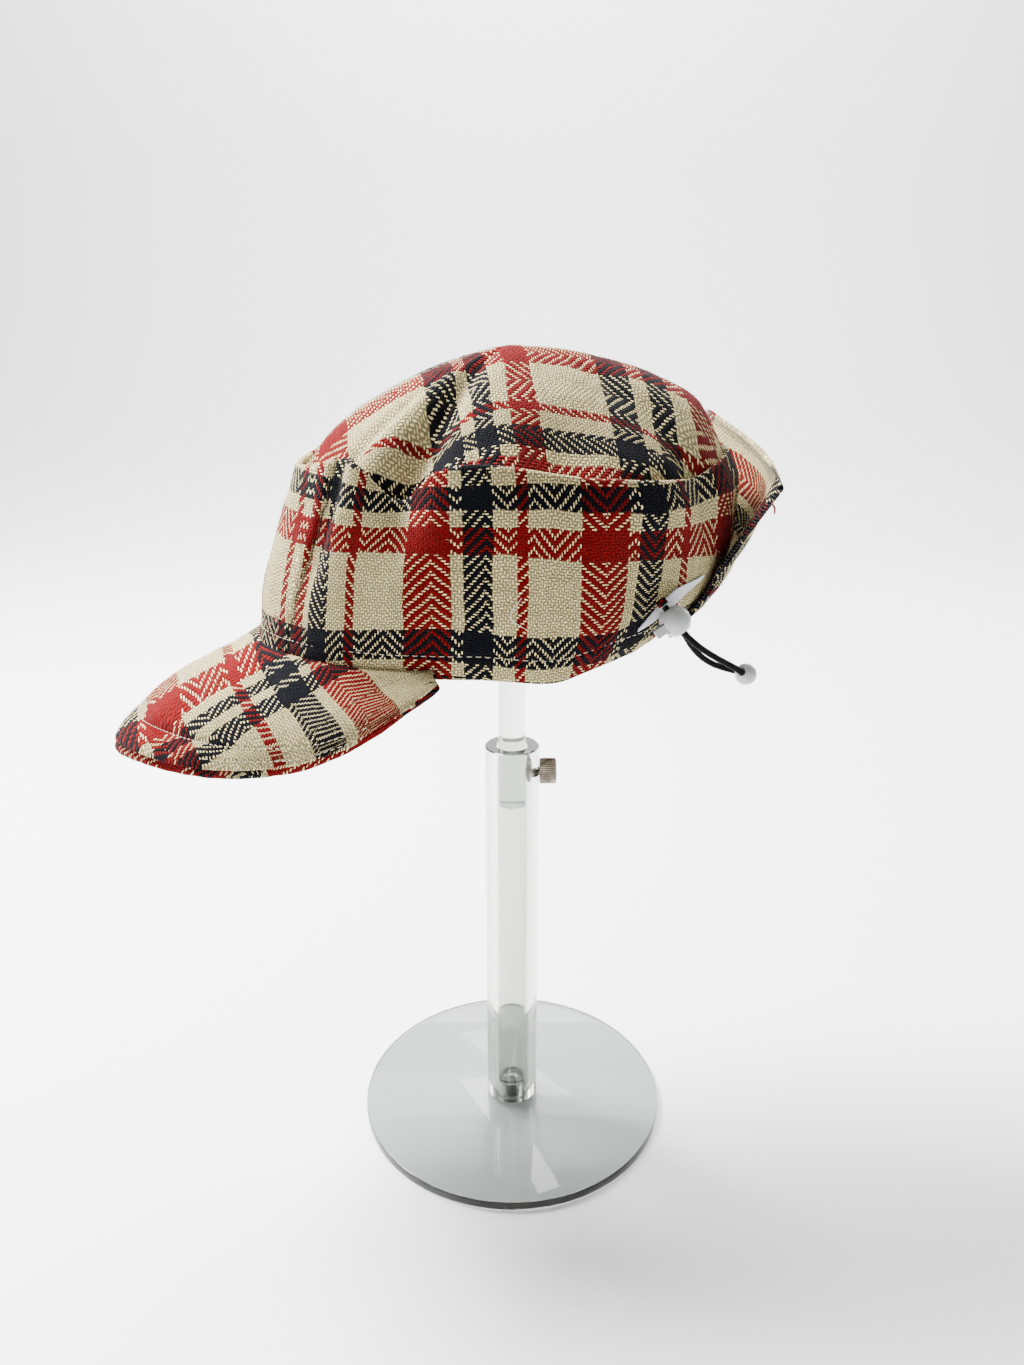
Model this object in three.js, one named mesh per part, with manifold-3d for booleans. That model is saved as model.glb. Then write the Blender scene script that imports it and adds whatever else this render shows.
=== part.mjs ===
// A plaid wool cap with a stiff front peak and a soft neck flap turned up behind,
// held on a clear acrylic display stand. Millimetres, +Z up, origin at the middle
// of the underside of the stand's base. The cap's peak points to -X and a little to
// -Y, because the cap sits turned on the stand; its wearer's left side faces -Y.

import * as THREE from "three";
import { mergeVertices } from "three/addons/utils/BufferGeometryUtils.js";
import Module from "manifold-3d";

const wasm = await Module();
wasm.setup();

// Clearances
const seat = 0.3;
const slideGap = 0.3;

// Stand
const baseDiameter = 150;
const baseThickness = 4.5;
const baseBevel = 0.4;
const tubeDiameter = 25;
const tubeBore = 14;
const tubeHeight = 193;
const rodDiameter = 12.6;
const rodOverlap = 29;
const plugHeight = 10;
const screwDepth = 7;
const baseScrewDiameter = 5;
const padDiameter = 24;
const padRim = 2.4;
const clampDrop = 13;
const clampShank = 4;
const clampHead = 12;
const clampHeadLength = 8;

// Cap
const capTurn = THREE.MathUtils.degToRad(10);
const cloth = 1.8;
const rimHeight = 254;
const wallHeight = 76;
const frontReach = 109;
const rearReach = 96;
const halfWidth = 71;
const crownPeak = 372.5;
const lipRoll = 6;
const topThickness = 1.6;
const topSlack = 3.2;

// Peak
const peakReach = 64;
const peakHalfWidth = 72;
const peakDrop = 38;
const peakJoint = 68.5;
const peakLap = 2.2;
const peakClearance = 3.6;
const peakSwell = 4.5;
const peakSpread = 2.5;
const peakFlatness = 0.6;
const peakUpperThickness = 1.9;
const peakUnderThickness = 1.3;

// Neck flap
const flapThickness = 2;
const flapBow = 13;
const flapBowDip = THREE.MathUtils.degToRad(36.87);
const flapClearance = 4;

// Label
const labelWidth = 6.5;
const labelBulge = 2.4;
const labelThickness = 0.6;
const labelRoom = 2.4;

// Cord and its stopper
const cordDiameter = 2.5;
const strandSpacing = 2.7;
const toggleDiameter = 12.2;
const beadDiameter = 8.6;
const plungerAcross = 3.6;
const plungerProud = 3;
const plungerTravel = 2;
const prongThickness = 0.9;
const tabLength = 3;
const tabWidth = 7;
const tabThickness = 4.2;
const tabKeepOut = 16;

// Mesh detail
const wallColumns = 72;
const wallRows = 10;
const topRings = 9;
const topSpread = 0.7;
const peakColumns = 28;
const peakRows = 8;
const flapColumns = 14;
const flapRows = 8;
const baseSides = 48;
const roundSides = 32;
const smallSides = 16;
const cordSides = 4;
const cordSteps = 48;
const ballRings = 14;
const beadRings = 12;
const labelRows = 3;
const labelColumns = 12;

// Materials
const plaidWool = new THREE.MeshStandardMaterial({ color: 0xa8514a, roughness: 0.95, metalness: 0 });
const clearAcrylic = new THREE.MeshStandardMaterial({
  color: 0xdfe6e6, roughness: 0.08, metalness: 0, transparent: true, opacity: 0.35,
});
const steel = new THREE.MeshStandardMaterial({ color: 0x9a948a, roughness: 0.3, metalness: 1 });
const blackElastic = new THREE.MeshStandardMaterial({ color: 0x121212, roughness: 0.85, metalness: 0 });
const whitePlastic = new THREE.MeshStandardMaterial({ color: 0xe9e9e4, roughness: 0.4, metalness: 0 });
const labelCloth = new THREE.MeshStandardMaterial({ color: 0xf2f2f4, roughness: 0.8, metalness: 0 });

// Crown sections from the rim to the lip: height up the wall, then the reach to the
// front, to the rear and to each side, all as shares of the named sizes.
const crownSections = [
  { height: 0.0, front: 1.0, rear: 0.77, side: 0.96 },
  { height: 0.14, front: 0.985, rear: 0.89, side: 0.985 },
  { height: 0.32, front: 0.965, rear: 0.97, side: 1.0 },
  { height: 0.55, front: 0.915, rear: 1.0, side: 1.0 },
  { height: 0.8, front: 0.86, rear: 1.0, side: 0.985 },
  { height: 1.0, front: 0.815, rear: 0.955, side: 0.93 },
];

// Rim and lip levels round the crown. Angles are degrees from the front through the
// near side; rise is a share of the wall height.
const rimLevels = [
  { angle: 0, rise: 0.0 },
  { angle: 45, rise: -0.005 },
  { angle: 75, rise: 0.0 },
  { angle: 92, rise: -0.035 },
  { angle: 108, rise: 0.02 },
  { angle: 120, rise: 0.055 },
  { angle: 132, rise: 0.1 },
  { angle: 155, rise: 0.16 },
  { angle: 180, rise: 0.2 },
];
const lipLevels = [
  { angle: 0, rise: 0.97 },
  { angle: 20, rise: 1.0 },
  { angle: 42, rise: 1.06 },
  { angle: 60, rise: 1.02 },
  { angle: 75, rise: 1.05 },
  { angle: 103, rise: 0.97 },
  { angle: 132, rise: 0.93 },
  { angle: 150, rise: 0.98 },
  { angle: 165, rise: 1.02 },
  { angle: 180, rise: 1.04 },
];

// Folds pressed into the wall: middle angle and spread in degrees, height of the
// middle and its spread as shares of the wall, how far the fold leans per unit of
// height in degrees, and its depth as a share of the cloth's thickness.
const wallFolds = [
  { angle: 35, spread: 3.5, height: 0.8, reach: 0.45, lean: 6, depth: 2.2 },
  { angle: 42, spread: 6, height: 0.85, reach: 0.4, lean: 6, depth: -1.3 },
  { angle: 56, spread: 7, height: 1.0, reach: 0.28, lean: 0, depth: 1.9 },
  { angle: 138, spread: 7, height: 0.85, reach: 0.3, lean: -14, depth: 1.6 },
  { angle: 118, spread: 12, height: 0.35, reach: 0.35, lean: 20, depth: 0.8 },
  { angle: 15, spread: 9, height: 0.5, reach: 0.4, lean: 0, depth: -0.5 },
  { angle: 222, spread: 6, height: 0.8, reach: 0.4, lean: -8, depth: 1.6 },
  { angle: 295, spread: 7, height: 0.9, reach: 0.4, lean: -6, depth: 1.5 },
  { angle: 328, spread: 6, height: 0.75, reach: 0.45, lean: 4, depth: -1.0 },
];

// Dips in the lip itself: middle and spread in degrees, depth as a share of the wall.
const lipDips = [
  { angle: 53, spread: 7, depth: 0.17 },
  { angle: 138, spread: 6, depth: 0.02 },
  { angle: 295, spread: 8, depth: 0.07 },
  { angle: 225, spread: 7, depth: 0.05 },
];

const fullTurn = 2 * Math.PI;

function degrees(value) {
  return THREE.MathUtils.degToRad(value);
}

// Smooth reading of a table: a monotone cubic through the rows of one column.
function readTable(rows, key, column, at) {
  const last = rows.length - 1;
  const x = THREE.MathUtils.clamp(at, rows[0][key], rows[last][key]);
  let i = 0;
  while (i < last - 1 && rows[i + 1][key] < x) i += 1;
  const slope = (n) => (rows[n + 1][column] - rows[n][column]) / (rows[n + 1][key] - rows[n][key]);
  const tangent = (n) => {
    if (n === 0) return slope(0);
    if (n === last) return slope(last - 1);
    const before = slope(n - 1);
    const after = slope(n);
    return before * after <= 0 ? 0 : (2 * before * after) / (before + after);
  };
  const span = rows[i + 1][key] - rows[i][key];
  const t = (x - rows[i][key]) / span;
  const t2 = t * t;
  const t3 = t2 * t;
  return (2 * t3 - 3 * t2 + 1) * rows[i][column] + (t3 - 2 * t2 + t) * span * tangent(i)
    + (3 * t2 - 2 * t3) * rows[i + 1][column] + (t3 - t2) * span * tangent(i + 1);
}

// Distance between two angles, in degrees, the short way round.
function turnBetween(a, b) {
  return ((a - b + 540) % 360) - 180;
}

function bell(distance, spread) {
  return Math.exp(-((distance / spread) ** 2));
}

// The same table serves both sides of the cap: angles past the rear are read back.
function levelAt(rows, angle) {
  const turned = ((angle % 360) + 360) % 360;
  return readTable(rows, "angle", "rise", turned > 180 ? 360 - turned : turned);
}

function rimLevel(angle) {
  return rimHeight + wallHeight * levelAt(rimLevels, angle);
}

function lipLevel(angle) {
  const dips = lipDips.reduce(
    (sum, dip) => sum + dip.depth * bell(turnBetween(angle, dip.angle), dip.spread),
    0,
  );
  return rimHeight + wallHeight * (levelAt(lipLevels, angle) - dips);
}

// A point on the outside of the crown wall. The plan is an oval with its own reach to
// the front, the rear and the sides; folds push it in or out along the plan's radius.
function wallPoint(angle, height) {
  const c = Math.cos(degrees(angle));
  const s = Math.sin(degrees(angle));
  const front = frontReach * readTable(crownSections, "height", "front", height);
  const rear = rearReach * readTable(crownSections, "height", "rear", height);
  const side = halfWidth * readTable(crownSections, "height", "side", height);
  const folds = wallFolds.reduce((sum, fold) => {
    const middle = fold.angle + fold.lean * (height - fold.height);
    const across = bell(turnBetween(angle, middle), fold.spread);
    return sum + cloth * fold.depth * across * bell(height - fold.height, fold.reach);
  }, 0);
  const reach = c > 0 ? front : rear;
  const radius = Math.hypot(reach * c, side * s);
  const pull = 1 - folds / radius;
  const low = rimLevel(angle);
  const level = low + (lipLevel(angle) - low) * height;
  return new THREE.Vector3(-reach * c * pull, -side * s * pull, level);
}

// Surface grids as indexed open meshes. Rows may close round, or shrink to one pole.
function gridSurface(rows, columns, point, { closed = false, pole = false } = {}) {
  const positions = [];
  const indices = [];
  const perRow = closed ? columns : columns + 1;
  for (let r = 0; r <= rows; r += 1) {
    for (let q = 0; q < perRow; q += 1) {
      const p = point(q / columns, r / rows);
      positions.push(p.x, p.y, p.z);
    }
  }
  const at = (r, q) => (pole && r === 0 ? 0 : r * perRow + (closed ? q % columns : q));
  for (let r = 0; r < rows; r += 1) {
    for (let q = 0; q < columns; q += 1) {
      const [a, b, d, e] = [at(r, q), at(r, q + 1), at(r + 1, q), at(r + 1, q + 1)];
      if (a !== b) indices.push(a, b, e);
      if (d !== e) indices.push(a, e, d);
    }
  }
  const surface = new THREE.BufferGeometry();
  surface.setAttribute("position", new THREE.Float32BufferAttribute(positions, 3));
  surface.setIndex(indices);
  surface.computeVertexNormals();
  return surface;
}

// A closed sheet of cloth: the surface sunk by the given depth, its copy one thickness
// behind it, and a strip along every open edge.
function thicken(surface, thickness, depth = 0) {
  const outer = surface.attributes.position;
  const normal = surface.attributes.normal;
  const count = outer.count;
  const faces = Array.from(surface.index.array);
  const positions = [];
  for (const offset of [depth, depth + thickness]) {
    for (let i = 0; i < count; i += 1) {
      positions.push(
        outer.getX(i) - normal.getX(i) * offset,
        outer.getY(i) - normal.getY(i) * offset,
        outer.getZ(i) - normal.getZ(i) * offset,
      );
    }
  }
  const indices = [...faces];
  const edges = new Map();
  for (let f = 0; f < faces.length; f += 3) {
    const corner = [faces[f], faces[f + 1], faces[f + 2]];
    indices.push(corner[0] + count, corner[2] + count, corner[1] + count);
    for (let k = 0; k < 3; k += 1) {
      const [from, to] = [corner[k], corner[(k + 1) % 3]];
      edges.set(`${from},${to}`, [from, to]);
    }
  }
  for (const [a, b] of edges.values()) {
    if (!edges.has(`${b},${a}`)) indices.push(b, a, a + count, b, a + count, b + count);
  }
  return tidy(positions, indices);
}

// Drops vertices that no face uses.
function tidy(positions, indices) {
  const used = new Map();
  const kept = [];
  const renumbered = indices.map((i) => {
    if (!used.has(i)) {
      used.set(i, used.size);
      kept.push(positions[3 * i], positions[3 * i + 1], positions[3 * i + 2]);
    }
    return used.get(i);
  });
  const geometry = new THREE.BufferGeometry();
  geometry.setAttribute("position", new THREE.Float32BufferAttribute(kept, 3));
  geometry.setIndex(renumbered);
  return geometry;
}

// Booleans
function toSolid(geometry) {
  const bare = new THREE.BufferGeometry();
  bare.setAttribute("position", geometry.attributes.position.clone());
  if (geometry.index) bare.setIndex(geometry.index.clone());
  const merged = mergeVertices(bare, 1e-4);
  return new wasm.Manifold(new wasm.Mesh({
    numProp: 3,
    vertProperties: new Float32Array(merged.attributes.position.array),
    triVerts: new Uint32Array(merged.index.array),
  }));
}

function toGeometry(solid) {
  const mesh = solid.getMesh();
  const geometry = new THREE.BufferGeometry();
  geometry.setAttribute("position", new THREE.BufferAttribute(mesh.vertProperties, 3));
  geometry.setIndex(new THREE.BufferAttribute(mesh.triVerts, 1));
  return geometry;
}

// Solids of revolution about Z from a closed profile of radius and height pairs.
function turned(profile, sides) {
  const lathe = new THREE.LatheGeometry(profile.map(([r, z]) => new THREE.Vector2(r, z)), sides);
  return lathe.rotateX(Math.PI / 2);
}

function namedMesh(name, geometry, material) {
  const item = new THREE.Mesh(geometry, material);
  item.name = name;
  return item;
}

// Cap: crown wall
function crownWall() {
  const surface = gridSurface(
    wallRows,
    wallColumns,
    (across, up) => wallPoint(360 * across, up),
    { closed: true },
  );
  return namedMesh("crown_wall", thicken(surface, cloth), plaidWool);
}

// Cap: top panel. It starts inside the lip, one roll of cloth lower, and rises to the
// pad of the stand. The sides and front fall away in a rounded slope, the rear stays
// full and drops late.
function topPoint(angle, out) {
  const shoulder = 1 - lipRoll / wallHeight;
  const edge = wallPoint(angle, shoulder);
  const reach = Math.hypot(edge.x, edge.y);
  const inset = (reach - cloth - topSlack) / reach;
  const along = Math.cos(degrees(angle));
  const rounded = 1.75 * out ** 2 - 0.75 * out ** 3;
  const frontFull = 0.8 * out ** 1.5 + 0.2 * out ** 8;
  const rearFull = 0.6 * out ** 2 + 0.4 * out ** 14;
  const full = along > 0 ? frontFull : rearFull;
  const fall = rounded + (full - rounded) * along * along;
  return new THREE.Vector3(
    edge.x * inset * out,
    edge.y * inset * out,
    crownPeak - (crownPeak - edge.z) * fall,
  );
}

// The rings of the top panel lie closer together towards its edge.
function ringAt(share) {
  return share ** topSpread;
}

function crownTop() {
  const surface = gridSurface(
    topRings,
    wallColumns / 2,
    (across, out) => topPoint(360 * across, ringAt(out)),
    { closed: true, pole: true },
  );
  surface.index.array.reverse();
  surface.computeVertexNormals();
  return namedMesh("crown_top", thicken(surface, topThickness), plaidWool);
}

// How far the panel falls over a radius about its middle, inside its first ring.
function panelFall(radius) {
  const falls = Array.from({ length: wallColumns / 2 }, (_, column) => {
    const p = topPoint((720 * column) / wallColumns, ringAt(1 / topRings));
    return ((crownPeak - p.z) * radius) / Math.hypot(p.x, p.y);
  });
  return Math.max(...falls);
}

// Cap: peak. One edge lies on the rim, the other is half an oval that droops; the
// surface between them swells a little, by 27/4 out² (1 - out), which is 1 at its most.
const peakDroop = [
  { share: 0.0, drop: 1.05 },
  { share: 0.3, drop: 0.98 },
  { share: 0.5, drop: 1.0 },
  { share: 0.7, drop: 0.915 },
  { share: 0.8, drop: 0.75 },
  { share: 0.9, drop: 0.46 },
  { share: 1.0, drop: 0.06 },
];

function peakPoint(side, out) {
  const rim = wallPoint(peakJoint * side, 0);
  const plan = Math.hypot(rim.x, rim.y);
  const stand = (plan + peakClearance) / plan;
  const joint = new THREE.Vector3(rim.x * stand, rim.y * stand, rim.z + peakLap);
  const end = wallPoint(peakJoint, 0);
  const sweep = side * Math.PI / 2;
  const edge = new THREE.Vector3(
    end.x - (frontReach + peakReach + end.x) * Math.cos(sweep),
    -peakHalfWidth * Math.sin(sweep),
    rimHeight - peakDrop * readTable(peakDroop, "share", "drop", Math.abs(side)),
  );
  const swell = (27 / 4) * out * out * (1 - out);
  const p = joint.clone().lerp(edge, out);
  p.z += swell * peakSwell * (1 - peakFlatness * side * side);
  p.y -= swell * peakSpread * side;
  return p;
}

function peakLayer(name, thickness, depth) {
  const surface = gridSurface(
    peakRows,
    peakColumns,
    (across, out) => peakPoint(1 - 2 * across, out),
  );
  return namedMesh(name, thicken(surface, thickness, depth), plaidWool);
}

// Cap: neck flap, joined under the rear rim and turned up behind the crown. The near
// corner hangs out lower than the far one.
const flapEdges = [
  { side: -1, baseX: 0.585, baseY: -0.72, baseZ: 0.11, tipX: 1.068, tipY: -0.61, tipZ: 0.86 },
  { side: 0, baseX: 0.8, baseY: 0, baseZ: 0.2, tipX: 1.15, tipY: 0, tipZ: 1.0 },
  { side: 1, baseX: 0.6, baseY: 0.72, baseZ: 0.17, tipX: 1.08, tipY: 0.68, tipZ: 1.17 },
];

// Moves a point out along the plan's radius until it is clear of the crown wall.
function clearOfWall(p, gap) {
  let angle = 0;
  let share = 0.5;
  for (let pass = 0; pass < 3; pass += 1) {
    const rear = rearReach * readTable(crownSections, "height", "rear", share);
    const side = halfWidth * readTable(crownSections, "height", "side", share);
    angle = THREE.MathUtils.radToDeg(Math.atan2(-p.y / side, -p.x / rear));
    share = THREE.MathUtils.clamp((p.z - rimLevel(angle)) / (lipLevel(angle) - rimLevel(angle)), 0, 1);
  }
  const wall = wallPoint(angle, share);
  const wanted = Math.hypot(wall.x, wall.y) + gap;
  const own = Math.hypot(p.x, p.y);
  const push = Math.max(1, wanted / own);
  return new THREE.Vector3(p.x * push, p.y * push, p.z);
}

function flapPoint(side, out) {
  const read = (column) => readTable(flapEdges, "side", column, side);
  const root = new THREE.Vector3(
    rearReach * read("baseX"),
    halfWidth * read("baseY"),
    rimHeight + wallHeight * read("baseZ") - 1,
  );
  const tip = new THREE.Vector3(
    rearReach * read("tipX"),
    halfWidth * read("tipY"),
    rimHeight + wallHeight * read("tipZ"),
  );
  const bow = flapBow * (1 - side * side) ** 1.5 * 4 * out * (1 - out);
  const p = root.lerp(tip, out);
  p.x += bow * Math.cos(flapBowDip);
  p.z -= bow * Math.sin(flapBowDip);
  return clearOfWall(p, flapClearance);
}

function neckFlap() {
  const surface = gridSurface(
    flapRows,
    flapColumns,
    (across, out) => flapPoint(2 * across - 1, out),
  );
  return namedMesh("neck_flap", thicken(surface, flapThickness), plaidWool);
}

// Cap: label. A soft strip sewn to the wall at its two ends and along its upper edge,
// bulging away from the cloth in between. Angle and height are places on the wall.
const labelPath = [
  { along: 0, angle: 117, height: 0.16, width: 0.15, bulge: 0 },
  { along: 0.33, angle: 121.5, height: 0.25, width: 1, bulge: 0.3 },
  { along: 0.6, angle: 125, height: 0.31, width: 0.9, bulge: 0.8 },
  { along: 0.8, angle: 130, height: 0.345, width: 0.5, bulge: 0.5 },
  { along: 1, angle: 137, height: 0.375, width: 0.15, bulge: 0 },
];

// The wall's own frame at a place: the point, and the directions out of the cloth, up
// the cloth and along the rim.
function wallFrame(angle, height) {
  const step = 0.5;
  const share = 0.01;
  const point = wallPoint(angle, height);
  const along = wallPoint(angle + step, height).sub(wallPoint(angle - step, height)).normalize();
  const up = wallPoint(angle, height + share).sub(wallPoint(angle, height - share)).normalize();
  const out = new THREE.Vector3().crossVectors(along, up).normalize();
  return { point, along, up, out };
}

function labelPoint(along, across) {
  const read = (column) => readTable(labelPath, "along", column, along);
  const { point, up, out } = wallFrame(read("angle"), read("height"));
  const stand = labelThickness + labelBulge * read("bulge") * (0.5 + 0.5 * across);
  return point
    .addScaledVector(out, stand)
    .addScaledVector(up, labelWidth * read("width") * (0.5 - across));
}

function sizeLabel() {
  const surface = gridSurface(labelRows, labelColumns, labelPoint);
  return namedMesh("size_label", thicken(surface, labelThickness), labelCloth);
}

// The whole cap, turned on the stand
const cap = new THREE.Group();
cap.rotation.z = capTurn;
cap.add(crownWall());
cap.add(crownTop());
cap.add(peakLayer("peak_upper", peakUpperThickness, 0));
cap.add(peakLayer("peak_under", peakUnderThickness, peakUpperThickness + seat));
cap.add(neckFlap());
cap.add(sizeLabel());

// Elastic cord, one loop: out of the tab, through the stopper, through the end bead
// and back. Points in the stand's frame, chosen by hand and measured from the place on
// the wall that the tab is sewn to: the first strand is the one nearer the viewer's
// side, -Y.
const tabAngle = 120;
const tabHeight = 0.28;
const cordRoute = [
  { x: 3.03, y: -5.98, z: 1.9 },
  { x: 4.93, y: -6.68, z: -0.6 },
  { x: 7.23, y: -7.38, z: -3.6, at: "stopper" },
  { x: 9.93, y: -8.28, z: -7.1 },
  { x: 13.03, y: -8.68, z: -10.3 },
  { x: 17.14, y: -8.28, z: -13.8 },
  { x: 22.49, y: -6.88, z: -17.6 },
  { x: 27.85, y: -5.48, z: -20.9 },
  { x: 32.31, y: -4.68, z: -23.5 },
  { x: 35.34, y: -3.68, z: -25.6 },
  { x: 37.13, y: -1.28, z: -27, at: "bead" },
  { x: 36.42, y: 1.32, z: -27.5 },
  { x: 33.92, y: 2.32, z: -26.9 },
  { x: 29.63, y: 1.92, z: -25.6 },
  { x: 23.92, y: 0.32, z: -23.1 },
  { x: 18.56, y: -1.68, z: -19.1 },
  { x: 14.63, y: -3.48, z: -14.5 },
  { x: 11.83, y: -4.78, z: -10.2 },
  { x: 9.63, y: -5.48, z: -7.2 },
  { x: 7.43, y: -4.78, z: -4.2, at: "stopper" },
  { x: 5.33, y: -4.08, z: -1.4 },
  { x: 3.43, y: -3.38, z: 1.1 },
];

const up = new THREE.Vector3(0, 0, 1);
const sewnAt = wallPoint(tabAngle, tabHeight).applyAxisAngle(up, capTurn);
const route = cordRoute.map(({ x, y, z }) => new THREE.Vector3(x, y, z).add(sewnAt));

function routeNumbers(piece) {
  return cordRoute.flatMap((row, number) => (row.at === piece ? [number] : []));
}

function alongCord(radius) {
  const section = new THREE.Shape();
  section.absarc(0, 0, radius, 0, fullTurn, false);
  return new THREE.ExtrudeGeometry(section, {
    steps: cordSteps,
    curveSegments: cordSides,
    bevelEnabled: false,
    extrudePath: new THREE.CatmullRomCurve3(route, false, "centripetal"),
  });
}

function elasticCord() {
  return namedMesh("elastic_cord", alongCord(cordDiameter / 2), blackElastic);
}

// The room that the cord needs inside the pieces it runs through.
const cordRoom = toSolid(alongCord(cordDiameter / 2 + slideGap));

// The stopper sits where its two strands pass: its own axes are the strands' direction
// (down the cord), the direction between the strands, and the plunger's direction.
const [nearNumber, farNumber] = routeNumbers("stopper");
const [strandNear, strandFar] = [route[nearNumber], route[farNumber]];
const stopperCentre = strandNear.clone().add(strandFar).multiplyScalar(0.5);
const between = strandFar.clone().sub(strandNear).normalize();
const downCord = route[nearNumber + 1].clone().sub(route[nearNumber - 1]);
downCord.addScaledVector(between, -downCord.dot(between)).normalize();
const plungerOut = new THREE.Vector3().crossVectors(between, downCord).normalize();

// In the stopper's frame X is the plunger's way out, Y is across the strands and Z is
// down the cord.
const cordSlotWidth = strandSpacing + cordDiameter + 2 * slideGap;
const cordSlotDepth = cordDiameter + 2 * slideGap;
const plungerWidth = cordSlotWidth + 2 * prongThickness;
const boreFloor = cordSlotDepth / 2 + plungerTravel + slideGap;

function boxAt(x0, x1, width, height) {
  return new THREE.BoxGeometry(x1 - x0, width, height).translate((x0 + x1) / 2, 0, 0);
}

function stopperMatrix() {
  return new THREE.Matrix4().makeBasis(plungerOut, between, downCord).setPosition(stopperCentre);
}

function placedSolid(geometry, matrix) {
  return toSolid(geometry.applyMatrix4(matrix));
}

function cordToggle() {
  const r = toggleDiameter / 2;
  const place = stopperMatrix();
  const bore = boxAt(-boreFloor, 2 * r, plungerWidth + 2 * slideGap, plungerAcross + 2 * slideGap);
  const slot = boxAt(-cordSlotDepth / 2, cordSlotDepth / 2, cordSlotWidth, 3 * r);
  const body = placedSolid(new THREE.SphereGeometry(r, 1.5 * ballRings, ballRings), place)
    .subtract(placedSolid(bore, place))
    .subtract(placedSolid(slot, place))
    .subtract(cordRoom);
  return namedMesh("cord_toggle", toGeometry(body), whitePlastic);
}

function togglePlunger() {
  const place = stopperMatrix();
  const outerEnd = toggleDiameter / 2 + plungerProud;
  const peg = boxAt(-cordSlotDepth / 2, outerEnd, plungerWidth, plungerAcross);
  const fork = boxAt(-outerEnd, cordSlotDepth / 2 + plungerTravel, cordSlotWidth, 2 * plungerAcross);
  const body = placedSolid(peg, place).subtract(placedSolid(fork, place));
  return namedMesh("toggle_plunger", toGeometry(body), whitePlastic);
}

// The cloth tab that the strands come out of, sewn on over the label's edge: it is cut
// back to leave the label its room on the wall.
function cordTab() {
  const bottom = route[0].clone().add(route[route.length - 1]).multiplyScalar(0.5);
  const centre = bottom.clone().addScaledVector(downCord, -(seat + tabLength / 2));
  const block = new THREE.BoxGeometry(tabThickness, tabWidth, tabLength);
  block.applyMatrix4(new THREE.Matrix4().makeBasis(plungerOut, between, downCord).setPosition(centre));
  const grown = gridSurface(
    wallRows,
    wallColumns,
    (across, up) => {
      const p = wallPoint(360 * across, up);
      const reach = Math.hypot(p.x, p.y);
      return p.multiply(new THREE.Vector3((reach + labelRoom) / reach, (reach + labelRoom) / reach, 1));
    },
    { closed: true },
  );
  const keepOut = thicken(grown, tabKeepOut).rotateZ(capTurn);
  return namedMesh("cord_tab", toGeometry(toSolid(block).subtract(toSolid(keepOut))), plaidWool);
}

// The end bead, bored for the loop that turns inside it.
function cordBead() {
  const [number] = routeNumbers("bead");
  const ball = new THREE.SphereGeometry(beadDiameter / 2, 1.5 * beadRings, beadRings);
  ball.translate(route[number].x, route[number].y, route[number].z);
  return namedMesh("cord_bead", toGeometry(toSolid(ball).subtract(cordRoom)), whitePlastic);
}

const cordSet = new THREE.Group();
cordSet.add(elasticCord());
cordSet.add(cordTab());
cordSet.add(cordToggle());
cordSet.add(togglePlunger());
cordSet.add(cordBead());

// Stand
const tubeBottom = baseThickness + seat;
const tubeTop = tubeBottom + tubeHeight;
const rodBottom = tubeTop - rodOverlap;
const padTop = crownPeak - topThickness - 2 * seat;
const padCrown = panelFall(padDiameter / 2) + 2 * seat;
const padThickness = padRim + padCrown;
const rodTop = padTop - padThickness - seat;
const screwFoot = baseThickness / 3;

// The disc has a blind hole in its top for the screw that holds the tube.
function standBase() {
  const r = baseDiameter / 2;
  const hole = baseScrewDiameter / 2 + seat;
  const profile = [
    [0, 0],
    [r - baseBevel, 0],
    [r, baseBevel],
    [r, baseThickness - baseBevel],
    [r - baseBevel, baseThickness],
    [hole, baseThickness],
    [hole, screwFoot - seat],
    [0, screwFoot - seat],
  ];
  return namedMesh("stand_base", turned(profile, baseSides), clearAcrylic);
}

function standTube() {
  const outer = tubeDiameter / 2;
  const inner = tubeBore / 2;
  const profile = [[inner, 0], [outer, 0], [outer, tubeHeight], [inner, tubeHeight], [inner, 0]];
  const body = toSolid(turned(profile, roundSides));
  const shankHole = clampShank / 2 + slideGap;
  const hole = new THREE.CylinderGeometry(shankHole, shankHole, tubeDiameter, smallSides);
  hole.rotateZ(Math.PI / 2).translate(tubeDiameter / 2, 0, tubeHeight - clampDrop);
  const item = namedMesh("stand_tube", toGeometry(body.subtract(toSolid(hole))), clearAcrylic);
  item.position.z = tubeBottom;
  return item;
}

function cylinderAlongZ(diameter, height, sides) {
  return new THREE.CylinderGeometry(diameter / 2, diameter / 2, height, sides)
    .rotateX(Math.PI / 2)
    .translate(0, 0, height / 2);
}

// A clear plug closes the tube's foot; the base's screw runs up into it.
const screwTop = baseThickness + screwDepth;

function tubePlug() {
  const inner = baseScrewDiameter / 2 + seat;
  const outer = tubeBore / 2 - seat;
  const roof = screwTop - tubeBottom + seat;
  const profile = [
    [inner, 0],
    [outer, 0],
    [outer, plugHeight],
    [0, plugHeight],
    [0, roof],
    [inner, roof],
    [inner, 0],
  ];
  const item = namedMesh("tube_plug", turned(profile, roundSides), clearAcrylic);
  item.position.z = tubeBottom;
  return item;
}

function baseScrew() {
  const body = cylinderAlongZ(baseScrewDiameter, screwTop - screwFoot, smallSides);
  const item = namedMesh("base_screw", body, steel);
  item.position.z = screwFoot;
  return item;
}

function standRod() {
  const body = cylinderAlongZ(rodDiameter, rodTop - rodBottom, roundSides);
  const item = namedMesh("stand_rod", body, clearAcrylic);
  item.position.z = rodBottom;
  return item;
}

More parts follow.
